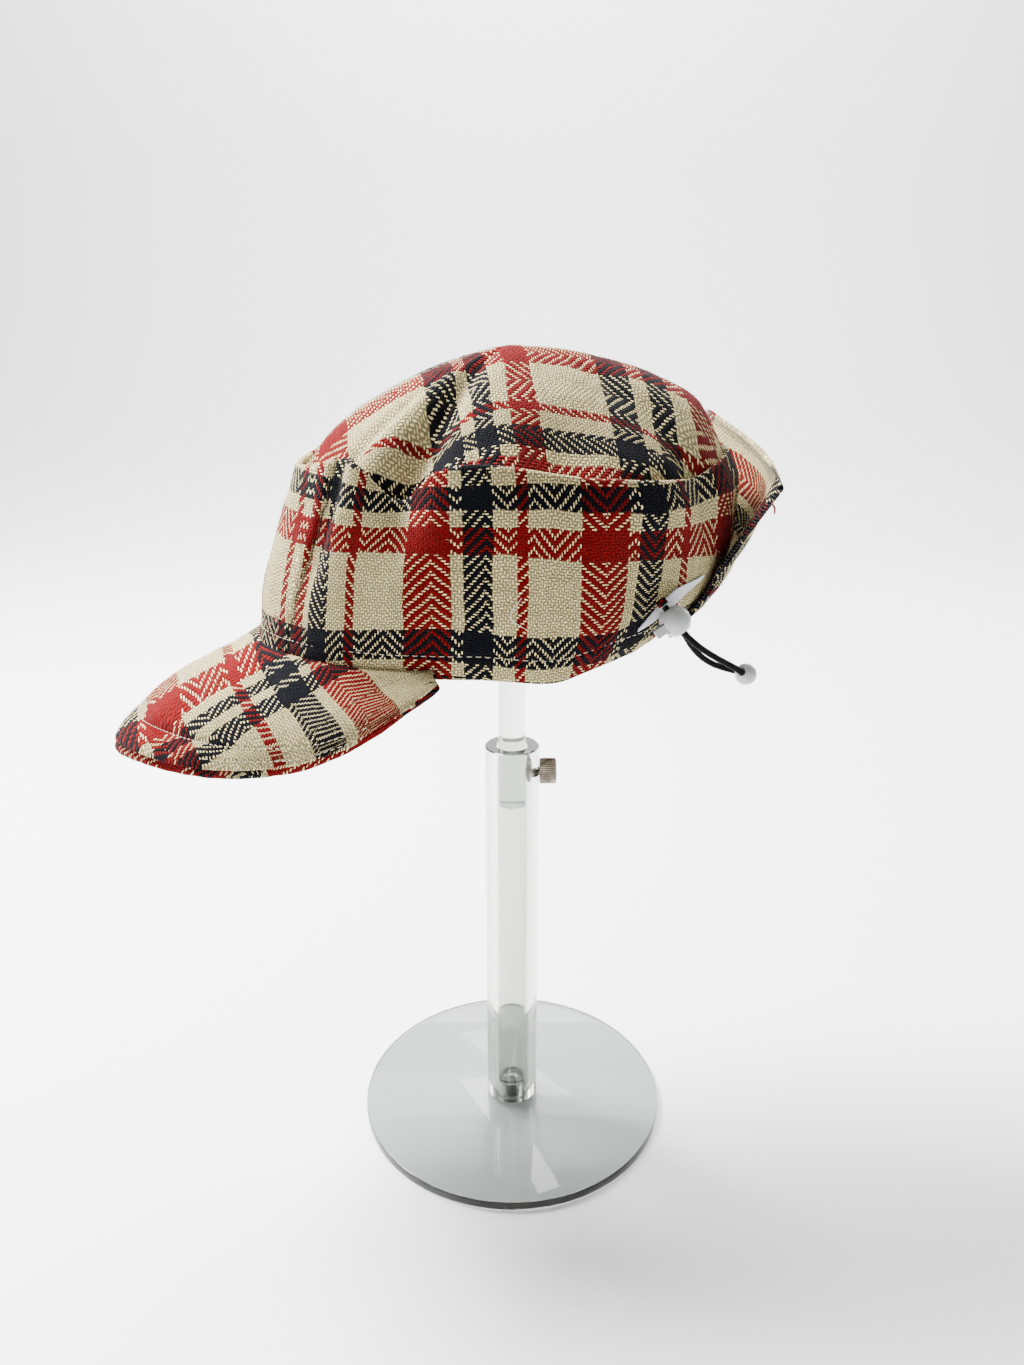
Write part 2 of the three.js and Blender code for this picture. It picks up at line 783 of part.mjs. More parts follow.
function standPad() {
  const r = padDiameter / 2;
  const profile = [[0, 0], [r, 0], [r, padRim], [0, padThickness]];
  const item = namedMesh("stand_pad", turned(profile, roundSides), clearAcrylic);
  item.position.z = padTop - padThickness;
  return item;
}

// The clamp screw: a knurled head outside the tube, its shank through the tube's wall
// as far as the rod.
function clampScrew() {
  const neck = (tubeDiameter - rodDiameter) / 2;
  const shank = cylinderAlongZ(clampShank, neck + clampHeadLength / 2, smallSides);
  const head = cylinderAlongZ(clampHead, clampHeadLength, roundSides).translate(0, 0, neck);
  const whole = toGeometry(toSolid(shank).add(toSolid(head)));
  const item = namedMesh("clamp_screw", whole, steel);
  item.rotation.y = Math.PI / 2;
  item.position.set(rodDiameter / 2 + seat, 0, tubeTop - clampDrop);
  return item;
}

const stand = new THREE.Group();
stand.add(standBase());
stand.add(standTube());
stand.add(tubePlug());
stand.add(baseScrew());
stand.add(standRod());
stand.add(standPad());
stand.add(clampScrew());

const model = new THREE.Group();
model.add(cap);
model.add(cordSet);
model.add(stand);

export default model;
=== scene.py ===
"""Dresses the plaid cap on its clear stand: cloth, stitching, drawcord and acrylic.

Everything is worked out in millimetres and becomes metres when a mesh is made. The
cap's own shapes are worked out with its peak along -X and are then turned on the stand.
"""

import logging
import math
from dataclasses import dataclass, field
from enum import Enum
from typing import Callable, Optional, Sequence

import bmesh
import bpy
import numpy as np
from mathutils import Euler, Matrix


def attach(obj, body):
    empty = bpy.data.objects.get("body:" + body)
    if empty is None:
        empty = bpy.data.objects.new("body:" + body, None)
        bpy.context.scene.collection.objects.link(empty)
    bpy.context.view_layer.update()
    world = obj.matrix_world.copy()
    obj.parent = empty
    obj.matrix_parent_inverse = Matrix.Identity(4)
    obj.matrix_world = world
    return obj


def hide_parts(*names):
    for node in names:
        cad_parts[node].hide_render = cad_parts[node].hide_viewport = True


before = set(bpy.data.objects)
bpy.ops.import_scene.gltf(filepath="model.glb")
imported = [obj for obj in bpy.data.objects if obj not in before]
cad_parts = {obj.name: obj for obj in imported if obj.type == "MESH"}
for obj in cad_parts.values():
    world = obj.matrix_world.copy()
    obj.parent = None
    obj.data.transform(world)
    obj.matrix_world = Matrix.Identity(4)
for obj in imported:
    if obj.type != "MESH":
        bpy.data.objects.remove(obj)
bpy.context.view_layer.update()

LOG = logging.getLogger("cap_on_stand")
MM = 0.001
BODY = "hat_and_stand"
PLUNGER_BODY = "plunger"
UP = (0.0, 0.0, 1.0)
FLAT = (1.0, 1.0, 0.0)
WAVE_LENGTHS = (0.6, 1.6)
WAVE_HEIGHT = 0.8
MERGE_M = 1e-6

Array = np.ndarray
Colour = tuple[float, float, float, float]
Screen = tuple[int, int, int]
Item = bpy.types.Object
Material = bpy.types.Material
Socket = bpy.types.NodeSocket
Node = bpy.types.Node
Nap = tuple[Array, Array, Array]


class Slot(Enum):
    """The record's material slots."""

    WOOL = "plaid_wool"
    LABEL = "label_cloth"
    ELASTIC = "black_elastic"
    PLASTIC = "white_plastic"
    ACRYLIC = "clear_acrylic"
    STEEL = "screw_steel"


# Shape arithmetic


def read_table(rows: Sequence[Sequence[float]], at: Array) -> Array:
    """Reads a table at many places: a monotone cubic through the rows of each column.

    Between two rows the value is the cubic Hermite curve whose end slopes are the
    harmonic means of the slopes on either side, or 0 where those differ in sign.

    Args:
        rows: Rows of numbers, the first being the place, in rising order.
        at: The places to read.

    Returns:
        An array of the shape of `at` with one more axis, the table's other columns.
    """
    table = np.asarray(rows, float)
    key, values = table[:, 0], table[:, 1:]
    slope = np.diff(values, axis=0) / np.diff(key)[:, None]
    before, after = slope[:-1], slope[1:]
    same = before * after > 0
    total = np.where(same, before + after, 1.0)
    middle = np.where(same, 2 * before * after / total, 0.0)
    tangent = np.vstack([slope[:1], middle, slope[-1:]])
    x = np.clip(at, key[0], key[-1])
    i = np.clip(np.searchsorted(key, x, side="right") - 1, 0, len(key) - 2)
    span = (key[i + 1] - key[i])[..., None]
    t = (x - key[i])[..., None] / span
    return (
        (2 * t**3 - 3 * t**2 + 1) * values[i]
        + (t**3 - 2 * t**2 + t) * span * tangent[i]
        + (3 * t**2 - 2 * t**3) * values[i + 1]
        + (t**3 - t**2) * span * tangent[i + 1]
    )


def read_line(rows: Sequence[Sequence[float]], at: Array) -> Array:
    """Reads one column in straight lines, going on at the end slopes beyond the table."""
    table = np.asarray(rows, float)
    key, value = table[:, 0], table[:, 1]
    inside = np.interp(at, key, value)
    low = (value[1] - value[0]) / (key[1] - key[0])
    high = (value[-1] - value[-2]) / (key[-1] - key[-2])
    return inside + low * np.minimum(at - key[0], 0) + high * np.maximum(at - key[-1], 0)


def bell(distance: Array, spread: float) -> Array:
    """A smooth bump: e to the minus square of distance over spread."""
    return np.exp(-((distance / spread) ** 2))


def smooth_step(low: float, high: float, at: Array) -> Array:
    """0 below `low`, 1 above `high`, and 3t squared less 2t cubed between them."""
    t = np.clip((at - low) / (high - low), 0.0, 1.0)
    return t * t * (3 - 2 * t)


def turn_between(a: Array, b: float) -> Array:
    """The distance between two angles in degrees, the short way round."""
    return (a - b + 540.0) % 360.0 - 180.0


def unit(vectors: Array) -> Array:
    """Each vector over its own length."""
    return vectors / np.maximum(np.linalg.norm(vectors, axis=-1, keepdims=True), 1e-12)


def as_points(*parts: Array) -> Array:
    """Coordinates put side by side as points, each stretched to the others' shape."""
    return np.stack(np.broadcast_arrays(*parts), axis=-1)


def facing(normals: Array, way: Array) -> Array:
    """Normals, all turned over where their mean product with a way is below 0."""
    return normals * np.sign(np.mean(np.sum(normals * way, axis=-1)))


def end_taper(side: Array, power: float) -> Array:
    """1 in the middle, falling to 0 at -1 and 1: the root of 1 less the power of the way."""
    return np.sqrt(np.maximum(1 - np.abs(side) ** power, 0.0))


def ring_of(count: int) -> tuple[Array, Array]:
    """The cosines and the sines of angles evenly round a circle."""
    angle = np.arange(count) * 2 * np.pi / count
    return np.cos(angle), np.sin(angle)


def ripple(points: Array, wavelength: float, seed: int, waves: int = 7) -> Array:
    """Slow, uneven swelling: the mean of sine waves that run in set random directions.

    Args:
        points: Places, in any number of dimensions.
        wavelength: The waves' usual length, in the places' unit.
        seed: Picks the directions and phases.
        waves: How many waves are added.

    Returns:
        A value from about -1 to 1 for each place.
    """
    chance = np.random.default_rng(seed)
    total = np.zeros(points.shape[:-1])
    for _ in range(waves):
        way = unit(chance.normal(size=points.shape[-1]))
        length = wavelength * chance.uniform(*WAVE_LENGTHS)
        total += np.sin(points @ way * 2 * np.pi / length + chance.uniform(0, 2 * np.pi))
    return total / math.sqrt(waves) * WAVE_HEIGHT


def worn(points: Array, slow: tuple, fine: tuple, fade: Array) -> Array:
    """How far worn cloth stands off its form: slow ripples that fade, and fine ones.

    Args:
        points: Places on the cloth.
        slow: Height, wavelength and seed of the slow ripples.
        fine: The same of the fine ones.
        fade: The slow ripples' share at each place.

    Returns:
        A distance for each place.
    """
    return slow[0] * ripple(points, *slow[1:]) * fade + fine[0] * ripple(points, *fine[1:])


def catmull_rom(points: Array, count: int) -> Array:
    """A smooth line through points: the centripetal Catmull-Rom curve.

    Args:
        points: The points to pass through.
        count: How many points the line gets, evenly along each stretch.

    Returns:
        An array of `count` points.
    """
    pts = np.vstack([2 * points[0] - points[1], points, 2 * points[-1] - points[-2]])
    step = np.sqrt(np.linalg.norm(np.diff(pts, axis=0), axis=1))
    knot = np.concatenate([[0.0], np.cumsum(step)])
    at = np.linspace(knot[1], knot[-2], count)
    i = np.clip(np.searchsorted(knot, at, side="right") - 1, 1, len(points) - 1)

    def blend(low: Array, high: Array, a: Array, b: Array) -> Array:
        share = ((at - knot[a]) / (knot[b] - knot[a]))[:, None]
        return low * (1 - share) + high * share

    p = [pts[i + k] for k in (-1, 0, 1, 2)]
    a1 = blend(p[0], p[1], i - 1, i)
    a2 = blend(p[1], p[2], i, i + 1)
    a3 = blend(p[2], p[3], i + 1, i + 2)
    b1 = blend(a1, a2, i - 1, i + 1)
    b2 = blend(a2, a3, i, i + 2)
    return blend(b1, b2, i, i + 1)


def held_stripe(yarn: Array, last: float, repeat: float, times: float = math.inf) -> Array:
    """Yarn numbers that go over a stripe again once they pass its last yarn.

    Each pass takes `repeat` off the number, so a whole number of the weave's four-yarn
    steps keeps the weave unbroken.

    Args:
        yarn: The yarn numbers.
        last: The stripe's last yarn.
        repeat: How many yarns are gone over again.
        times: How often, at most.

    Returns:
        The new yarn numbers.
    """
    passes = np.minimum(np.ceil(np.maximum(yarn - last, 0.0) / repeat), times)
    return yarn - passes * repeat


# Mesh making


def turned_by(points: Array, degrees: float) -> Array:
    """Points turned about +Z."""
    c, s = math.cos(math.radians(degrees)), math.sin(math.radians(degrees))
    x, y = points[..., 0], points[..., 1]
    return as_points(c * x - s * y, s * x + c * y, points[..., 2])


def grid_faces(
    rows: int, columns: int, close_rows: bool = False, close_columns: bool = True
) -> tuple[Array, Array]:
    """The four corners of each face of a grid.

    Args:
        rows: How many rows of points there are.
        columns: How many points there are in a row.
        close_rows: Whether the last row joins the first.
        close_columns: Whether each row is a ring.

    Returns:
        The faces' corners as point numbers, and as (row, column) places that don't wrap.
    """
    r = np.arange(rows if close_rows else rows - 1)
    q = np.arange(columns if close_columns else columns - 1)
    rr, qq = np.meshgrid(r, q, indexing="ij")
    places = np.stack(
        [np.stack([rr + a, qq + b], axis=-1) for a, b in ((0, 0), (0, 1), (1, 1), (1, 0))],
        axis=-2,
    ).reshape(-1, 4, 2)
    corners = (places[..., 0] % rows) * columns + places[..., 1] % columns
    return corners, places


def make_object(
    name: str,
    points: Array,
    faces: Array,
    material: Material,
    uv: Optional[Array] = None,
    merge: bool = False,
) -> Item:
    """Puts points and faces into a smooth mesh object at the origin.

    Args:
        name: The piece's name.
        points: Points in millimetres.
        faces: Corner numbers, four to a face.
        material: The finish.
        uv: Two numbers for each corner of each face, kept in the map "cloth".
        merge: Whether points that lie on each other become one, as at a pole.

    Returns:
        The new object.
    """
    mesh = bpy.data.meshes.new(name)
    mesh.from_pydata((points.reshape(-1, 3) * MM).tolist(), [], faces.tolist())
    if uv is not None:
        layer = mesh.uv_layers.new(name="cloth")
        layer.data.foreach_set("uv", np.asarray(uv, np.float32).ravel())
    work = bmesh.new()
    work.from_mesh(mesh)
    if merge:
        bmesh.ops.remove_doubles(work, verts=work.verts, dist=MERGE_M)
        bmesh.ops.dissolve_degenerate(work, edges=work.edges, dist=MERGE_M / 10)
    if work.calc_volume(signed=True) < 0:
        bmesh.ops.reverse_faces(work, faces=work.faces)
    work.to_mesh(mesh)
    work.free()
    mesh.polygons.foreach_set("use_smooth", np.ones(len(mesh.polygons), bool))
    mesh.update()
    mesh.materials.append(material)
    item = bpy.data.objects.new(name, mesh)
    bpy.context.scene.collection.objects.link(item)
    return item


def grid_object(
    name: str,
    points: Array,
    material: Material,
    uv: Optional[Array] = None,
    close_rows: bool = False,
    close_columns: bool = False,
    merge: bool = False,
) -> Item:
    """A mesh object from a grid of points.

    Args:
        name: The piece's name.
        points: Rows of columns of points, in millimetres.
        material: The finish.
        uv: The cloth's own coordinates, one row and column more than the points where
            that way is closed.
        close_rows: Whether the last row joins the first.
        close_columns: Whether each row is a ring.
        merge: Whether points on each other become one.

    Returns:
        The new object.
    """
    rows, columns = points.shape[:2]
    corners, places = grid_faces(rows, columns, close_rows, close_columns)
    corner_uv = None if uv is None else uv[places[..., 0], places[..., 1]]
    return make_object(name, points, corners, material, corner_uv, merge)


def lathe(
    name: str,
    profile: Sequence[tuple[float, float]],
    material: Material,
    sides: int = 128,
    close: bool = False,
) -> Item:
    """A solid turned about +Z: every profile point (r, z) becomes (r cos a, r sin a, z).

    Args:
        name: The piece's name.
        profile: Radius and height pairs, from the axis round to the axis again, or once
            round a ring.
        material: The finish.
        sides: How many points there are in each ring.
        close: Whether the profile's end joins its start, as for a tube.

    Returns:
        The new object.
    """
    radius, height = np.asarray(profile, float).T[..., None]
    cos, sin = ring_of(sides)
    points = as_points(radius * cos, radius * sin, height)
    return grid_object(name, points, material, close_rows=close, close_columns=True, merge=True)


def tube_points(path: Array, radius: Array, sides: int) -> Array:
    """Rings square to a path: each ring's frame turns as little as it can from the last.

    Args:
        path: The points of the path.
        radius: One radius for each point.
        sides: How many points there are in a ring.

    Returns:
        A grid of points, one ring to a row.
    """
    along = unit(np.gradient(path, axis=0))
    side = np.zeros_like(path)
    side[0] = unit(np.cross(along[0], UP))
    for n in range(1, len(path)):
        side[n] = unit(side[n - 1] - along[n] * (side[n - 1] @ along[n]))
    up = np.cross(along, side)
    cos, sin = ring_of(sides)
    ring = side[:, None] * cos[:, None] + up[:, None] * sin[:, None]
    return path[:, None] + ring * np.asarray(radius)[:, None, None]


def closed_tube(path: Array, radius: Array, sides: int) -> Array:
    """The rings of a tube, with a row at either end whose points all lie on the path."""
    ends = np.repeat(path[[0, -1]][:, None], sides, axis=1)
    return np.concatenate([ends[:1], tube_points(path, radius, sides), ends[1:]])


def stitches_object(
    name: str, starts: Array, ends: Array, lift: Array, radius: float, material: Material
) -> Item:
    """Short stitches of thread, each a bowed tube whose ends dive into the cloth.

    Ring k of a stitch lies at start + (end - start) k + lift sin(pi k), and its radius
    is the thread's times the fourth root of sin(pi k).

    Args:
        name: The piece's name.
        starts: Where each stitch comes out of the cloth.
        ends: Where each goes back in.
        lift: How far the middle of each stands off the cloth, as a vector.
        radius: The thread's radius.
        material: The finish.

    Returns:
        One object that holds every stitch.
    """
    sides, rings, inset, bluntness = 6, 6, 0.04, 0.25
    k = np.linspace(inset, 1 - inset, rings)[:, None]
    along = unit(ends - starts)
    out = unit(lift)
    across = unit(np.cross(along, out))
    centre = starts[:, None] + (ends - starts)[:, None] * k + lift[:, None] * np.sin(np.pi * k)
    cos, sin = ring_of(sides)
    size = radius * np.sin(np.pi * k[..., None]) ** bluntness
    ring = (across[:, None, None] * cos[:, None] + out[:, None, None] * sin[:, None]) * size
    points = centre[:, :, None] + ring
    corners, _ = grid_faces(rings, sides)
    ends_faces = np.array([[0, 1, 2, 3], [0, 3, 4, 5]])
    caps = np.concatenate([ends_faces, (ends_faces + (rings - 1) * sides)[:, ::-1]])
    one = np.concatenate([corners[:, ::-1], caps])
    every = (one[None] + (np.arange(len(starts)) * rings * sides)[:, None, None]).reshape(-1, 4)
    return make_object(name, points.reshape(-1, 3), every, material)


def finish_piece(
    item: Item, replaces: Sequence[str] = (), body: str = BODY
) -> Item:
    """Rides a piece on its body and the solids it stands for, and logs it."""
    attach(item, body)
    if replaces:
        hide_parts(*replaces)
    LOG.info("%s: %d faces on %s", item.name, len(item.data.polygons), body)
    return item


def dress_node(
    node: str,
    points: Array,
    material: Material,
    cloth: Array,
    close_rows: bool = True,
    close_columns: bool = False,
    merge: bool = True,
) -> Item:
    """Makes a cloth piece from a grid and lets it stand for the solid whose name it takes.

    Args:
        node: The solid's name.
        points: Rows of columns of points, in millimetres.
        material: The finish.
        cloth: The cloth's own coordinates.
        close_rows: Whether the last row joins the first.
        close_columns: Whether each row is a ring.
        merge: Whether points on each other become one.

    Returns:
        The new piece.
    """
    item = grid_object(f"{node}_cloth", points, material, cloth, close_rows, close_columns, merge)
    return finish_piece(item, [node])


def move_points(item: Item, change: Callable[[Array], Array]) -> None:
    """Moves a mesh's points to where `change` puts them, in metres."""
    flat = np.empty(len(item.data.vertices) * 3, np.float32)
    item.data.vertices.foreach_get("co", flat)
    item.data.vertices.foreach_set("co", change(flat.reshape(-1, 3)).astype(np.float32).ravel())
    item.data.update()


def cut_away(item: Item, cutters: Sequence[Item]) -> None:
    """Cuts other closed meshes out of a piece, applies the result and drops the cutters."""
    for cutter in cutters:
        cut = item.modifiers.new("cut", "BOOLEAN")
        cut.operation = "DIFFERENCE"
        cut.solver = "EXACT"
        cut.object = cutter
    graph = bpy.context.evaluated_depsgraph_get()
    made = bpy.data.meshes.new_from_object(item.evaluated_get(graph))
    item.modifiers.clear()
    item.data = made
    for cutter in cutters:
        bpy.data.objects.remove(cutter)


# Finishes


def linear(red: float, green: float, blue: float) -> Colour:
    """A colour given as 0 to 255 screen values, in the linear values that shaders use."""

    def one(value: float) -> float:
        share = value / 255
        return share / 12.92 if share <= 0.04045 else ((share + 0.055) / 1.055) ** 2.4

    return (one(red), one(green), one(blue), 1.0)


def darker(colour: Colour, share: float) -> Colour:
    """A share of a colour's light."""
    return tuple(share * part for part in colour[:3]) + (1.0,)


@dataclass
class NodeSheet:
    """Places and joins the nodes of one material or group."""

    tree: bpy.types.NodeTree
    column: float = 0.0
    level: float = -200.0
    spacing: float = 180.0

    def add(self, kind: str, **settings: object) -> Node:
        """Adds a node with the given settings."""
        node = self.tree.nodes.new(kind)
        node.location = (self.column, self.level)
        self.column += self.spacing
        for name, value in settings.items():
            setattr(node, name, value)
        return node

    def put(self, socket: Socket, value: object) -> None:
        """Joins a socket to another socket, or sets it to a plain value."""
        if isinstance(value, Socket):
            self.tree.links.new(value, socket)
        else:
            socket.default_value = value

    def math(self, operation: str, *values: object, clamp: bool = False) -> Socket:
        """One arithmetic step on up to three values."""
        node = self.add("ShaderNodeMath", operation=operation, use_clamp=clamp)
        for socket, value in zip(node.inputs, values):
            self.put(socket, value)
        return node.outputs[0]

    def vector_math(self, operation: str, first: object, second: object) -> Socket:
        """One step on two vectors."""
        node = self.add("ShaderNodeVectorMath", operation=operation)
        self.put(node.inputs[0], first)
        self.put(node.inputs[3] if operation == "SCALE" else node.inputs[1], second)
        return node.outputs[0]

    def place(self) -> Socket:
        """The place on the piece, in its own coordinates."""
        return self.add("ShaderNodeTexCoord").outputs["Object"]

    def cloth_map(self) -> tuple[Socket, Socket]:
        """U and V of the piece's own map."""
        split = self.add("ShaderNodeSeparateXYZ")
        self.put(split.inputs[0], self.add("ShaderNodeUVMap", uv_map="cloth").outputs[0])
        return split.outputs[0], split.outputs[1]

    def stretched(self, place: object, scale: tuple, slant: float = 0.0) -> Socket:
        """A place scaled along each axis after a turn about +Z, in radians."""
        mapping = self.add("ShaderNodeMapping")
        self.dress(mapping, {"Vector": place, "Scale": scale, "Rotation": (0.0, 0.0, slant)})
        return mapping.outputs[0]

    def noise(self, vector: object, scale: float, detail: float) -> Node:
        """Cloudy noise at a place, its Fac and Color outputs running about 0.5."""
        node = self.add("ShaderNodeTexNoise")
        self.dress(node, {"Vector": vector, "Scale": scale, "Detail": detail})
        return node

    def mix(self, share: object, first: object, second: object, blend: str = "MIX") -> Socket:
        """Two colours mixed by a share."""
        node = self.add("ShaderNodeMix", data_type="RGBA", blend_type=blend)
        self.put(node.inputs[0], share)
        self.put(node.inputs[6], first)
        self.put(node.inputs[7], second)
        return node.outputs[2]

    def between(
        self, value: object, low: object, high: object, to_low: float, to_high: float
    ) -> Socket:
        """A value carried from one range to another, held within it."""
        node = self.add("ShaderNodeMapRange")
        for socket, given in zip(node.inputs, (value, low, high, to_low, to_high)):
            self.put(socket, given)
        return node.outputs[0]

    def bump(self, height: object, distance: float) -> Socket:
        """A normal from a height, whose 0 to 1 is `distance` millimetres."""
        node = self.add("ShaderNodeBump")
        self.dress(node, {"Height": height, "Distance": distance * MM})
        return node.outputs[0]

    def grey(self, value: object) -> Socket:
        """A value as a grey colour."""
        node = self.add("ShaderNodeCombineXYZ")
        for socket in node.inputs:
            self.put(socket, value)
        return node.outputs[0]

    def dress(self, node: Node, finish: dict[str, object]) -> None:
        """Joins or sets a node's sockets by name."""
        for name, value in finish.items():
            self.put(node.inputs[name], value)


def new_group(
    name: str, inputs: dict[str, str], outputs: dict[str, str]
) -> tuple[bpy.types.NodeTree, NodeSheet]:
    """A shader node group with named sockets.

    Args:
        name: The group's name.
        inputs: Socket kinds by name.
        outputs: Socket kinds by name.

    Returns:
        The group and a sheet to fill it with.
    """
    group = bpy.data.node_groups.new(name, "ShaderNodeTree")
    for label, kind in inputs.items():
        group.interface.new_socket(name=label, in_out="INPUT", socket_type=kind)
    for label, kind in outputs.items():
        group.interface.new_socket(name=label, in_out="OUTPUT", socket_type=kind)
    return group, NodeSheet(group)


def new_material(name: str) -> tuple[Material, NodeSheet, Node]:
    """An empty node material, its sheet and its Principled shader, already joined up."""
    material = bpy.data.materials.new(name)
    material.use_nodes = True
    material.node_tree.nodes.clear()
    sheet = NodeSheet(material.node_tree)
    shader = sheet.add("ShaderNodeBsdfPrincipled")
    output = sheet.add("ShaderNodeOutputMaterial")
    sheet.put(output.inputs["Surface"], shader.outputs[0])
    return material, sheet, shader


class Yarn(Enum):
    """The three dyed wool yarns."""

    CREAM = (236, 218, 160)
    RED = (104, 0, 2)
    NAVY = (2, 4, 12)


@dataclass(frozen=True)
class Plaid:
    """Herringbone plaid wool. Its cloth map counts yarns: U across the warp, V the weft.

    Each yarn's colour comes from a stripe list that repeats. The weave is a 2/2 twill:
    at warp yarn i and weft yarn j the warp is on top where (s i + j) modulo 4 is under
    2, and s changes sign from one block of warp yarns to the next.
    """

    warp: tuple[tuple[Yarn, int], ...] = (
        (Yarn.NAVY, 11), (Yarn.CREAM, 9), (Yarn.RED, 4), (Yarn.CREAM, 21), (Yarn.RED, 15),
        (Yarn.CREAM, 4),
    )
    weft: tuple[tuple[Yarn, int], ...] = (
        (Yarn.NAVY, 12), (Yarn.CREAM, 28), (Yarn.RED, 10), (Yarn.CREAM, 6), (Yarn.NAVY, 8),
        (Yarn.CREAM, 6),
    )
    block: int = 9
    pitch: float = 1.03
    # scale, detail, and how many yarns the place is moved by
    drift: tuple = (55.0, 2.0, 2.6)
    shake: tuple = (900.0, 1.0, 0.7)
    # scale, detail
    hair: tuple = (1500.0, 3.0)
    cloud: tuple = (22.0, 3.0)
    float_width: float = 2.25
    float_length: float = 4.3
    hair_relief: float = 0.25
    hair_tone: float = 0.7
    cloud_tone: float = 0.2
    yarn_tone: tuple = (0.14, 0.93)
    # a yarn's cover rises over this much height, from a height that grows with its tone
    cover: float = 0.24
    cover_start: tuple = (0.85, -0.02)
    # painted shade between the yarns: its share grows with the ground's paleness, by this slope from this
    # start
    gap_shade_by_pale: tuple = (0.9, 0.25)
    roughness: tuple = (0.3, 0.7, 0.86, 0.98)

    def stripes(
        self, sheet: NodeSheet, rows: tuple[tuple[Yarn, int], ...], yarn: object
    ) -> Socket:
        """The dye of a numbered yarn: a colour ramp in steps along the repeat."""
        repeat = sum(count for _, count in rows)
        place = sheet.math("FRACT", sheet.math("DIVIDE", sheet.math("ADD", yarn, 0.5), float(repeat)))
        ramp = sheet.add("ShaderNodeValToRGB")
        ramp.color_ramp.interpolation = "CONSTANT"
        stops = ramp.color_ramp.elements
        at = 0
        for n, (dye, count) in enumerate(rows):
            stop = stops[n] if n < 2 else stops.new(at / repeat)
            stop.position = at / repeat
            stop.color = linear(*dye.value)
            at += count
        sheet.put(ramp.inputs[0], place)
        return ramp.outputs[0]

    def float_shape(self, sheet: NodeSheet, across: object, along: object) -> Socket:
        """The height of a yarn's float, which passes over two yarns and looks like a dash.

        Args:
            sheet: Where the nodes go.
            across: The place across the yarn, 0 to 1.
            along: The place along it in repeats of four yarns, whole at a float's middle.

        Returns:
            1 less the square of the way off the middle line and less a steep rise of the
            way along, each against the float's half size.
        """
        side = sheet.math("MULTIPLY", sheet.math("SUBTRACT", across, 0.5), self.float_width)
        wrapped = sheet.math("SUBTRACT", sheet.math("FRACT", sheet.math("ADD", along, 0.5)), 0.5)
        end = sheet.math("MULTIPLY", wrapped, self.float_length)
        fall_side = sheet.math("POWER", sheet.math("ABSOLUTE", side), 2.0)
        fall_end = sheet.math("POWER", sheet.math("ABSOLUTE", end), 4.0)
        fallen = sheet.math("ADD", fall_side, fall_end)
        return sheet.math("MAXIMUM", sheet.math("SUBTRACT", 1.0, fallen), 0.0)

    def group(self) -> bpy.types.NodeTree:
        """The weave as a node group: cloth map and place in, colour and height out."""
        group, sheet = new_group(
            "herringbone_plaid",
            {"Cloth": "NodeSocketVector", "Place": "NodeSocketVector", "Shade": "NodeSocketFloat"},
            {"Color": "NodeSocketColor", "Height": "NodeSocketFloat", "Fuzz": "NodeSocketFloat"},
        )
        given = sheet.add("NodeGroupInput")
        moved, place, shade = given.outputs[:3]
        for scale, detail, reach in (self.drift, self.shake):
            cloud = sheet.noise(place, scale, detail)
            off = sheet.vector_math("SUBTRACT", cloud.outputs["Color"], (0.5, 0.5, 0.5))
            moved = sheet.vector_math("ADD", moved, sheet.vector_math("SCALE", off, reach))
        split = sheet.add("ShaderNodeSeparateXYZ")
        sheet.put(split.inputs[0], moved)
        u, v = split.outputs[:2]
        i, j = sheet.math("FLOOR", u), sheet.math("FLOOR", v)
        block = sheet.math("FLOOR", sheet.math("DIVIDE", i, float(self.block)))
        turn = sheet.math("FLOORED_MODULO", block, 2.0)
        sign = sheet.math("MULTIPLY_ADD", turn, -2.0, 1.0)
        count = sheet.math("MULTIPLY_ADD", sign, i, j)
        step = sheet.math("FRACT", sheet.math("MULTIPLY_ADD", count, 0.25, 0.01))
        warp_up = sheet.math("LESS_THAN", step, 0.5)
        warp_colour = self.stripes(sheet, self.warp, i)
        weft_colour = self.stripes(sheet, self.weft, j)
        top = sheet.mix(warp_up, weft_colour, warp_colour)
        # the darker of the two yarns shows between the floats: partly the yarn beneath, partly painted shade
        ground = sheet.mix(1.0, warp_colour, weft_colour, "DARKEN")
        hair = sheet.noise(place, *self.hair)
        fuzz = sheet.math("SUBTRACT", hair.outputs[0], 0.5)
        counted = sheet.math("MULTIPLY_ADD", sign, i, v)
        shifted = sheet.math("MULTIPLY_ADD", sign, u, sheet.math("ADD", j, turn))
        warp_float, weft_float = (
            self.float_shape(
                sheet,
                sheet.math("SUBTRACT", across, number),
                sheet.math("MULTIPLY_ADD", along, 0.25, start),
            )
            for across, number, along, start in ((u, i, counted, -0.25), (v, j, shifted, -0.75))
        )
        raised = sheet.add("ShaderNodeMix", data_type="FLOAT")
        for n, value in ((0, warp_up), (2, weft_float), (3, warp_float)):
            sheet.put(raised.inputs[n], value)
        height = sheet.math("MULTIPLY_ADD", fuzz, self.hair_relief, raised.outputs[0])
        pale, dull = sheet.add("ShaderNodeRGBToBW"), sheet.add("ShaderNodeRGBToBW")
        sheet.put(pale.inputs[0], top)
        sheet.put(dull.inputs[0], ground)
        low = sheet.math("MULTIPLY_ADD", pale.outputs[0], *self.cover_start)
        shown = sheet.between(height, low, sheet.math("ADD", low, self.cover), 0.0, 1.0)
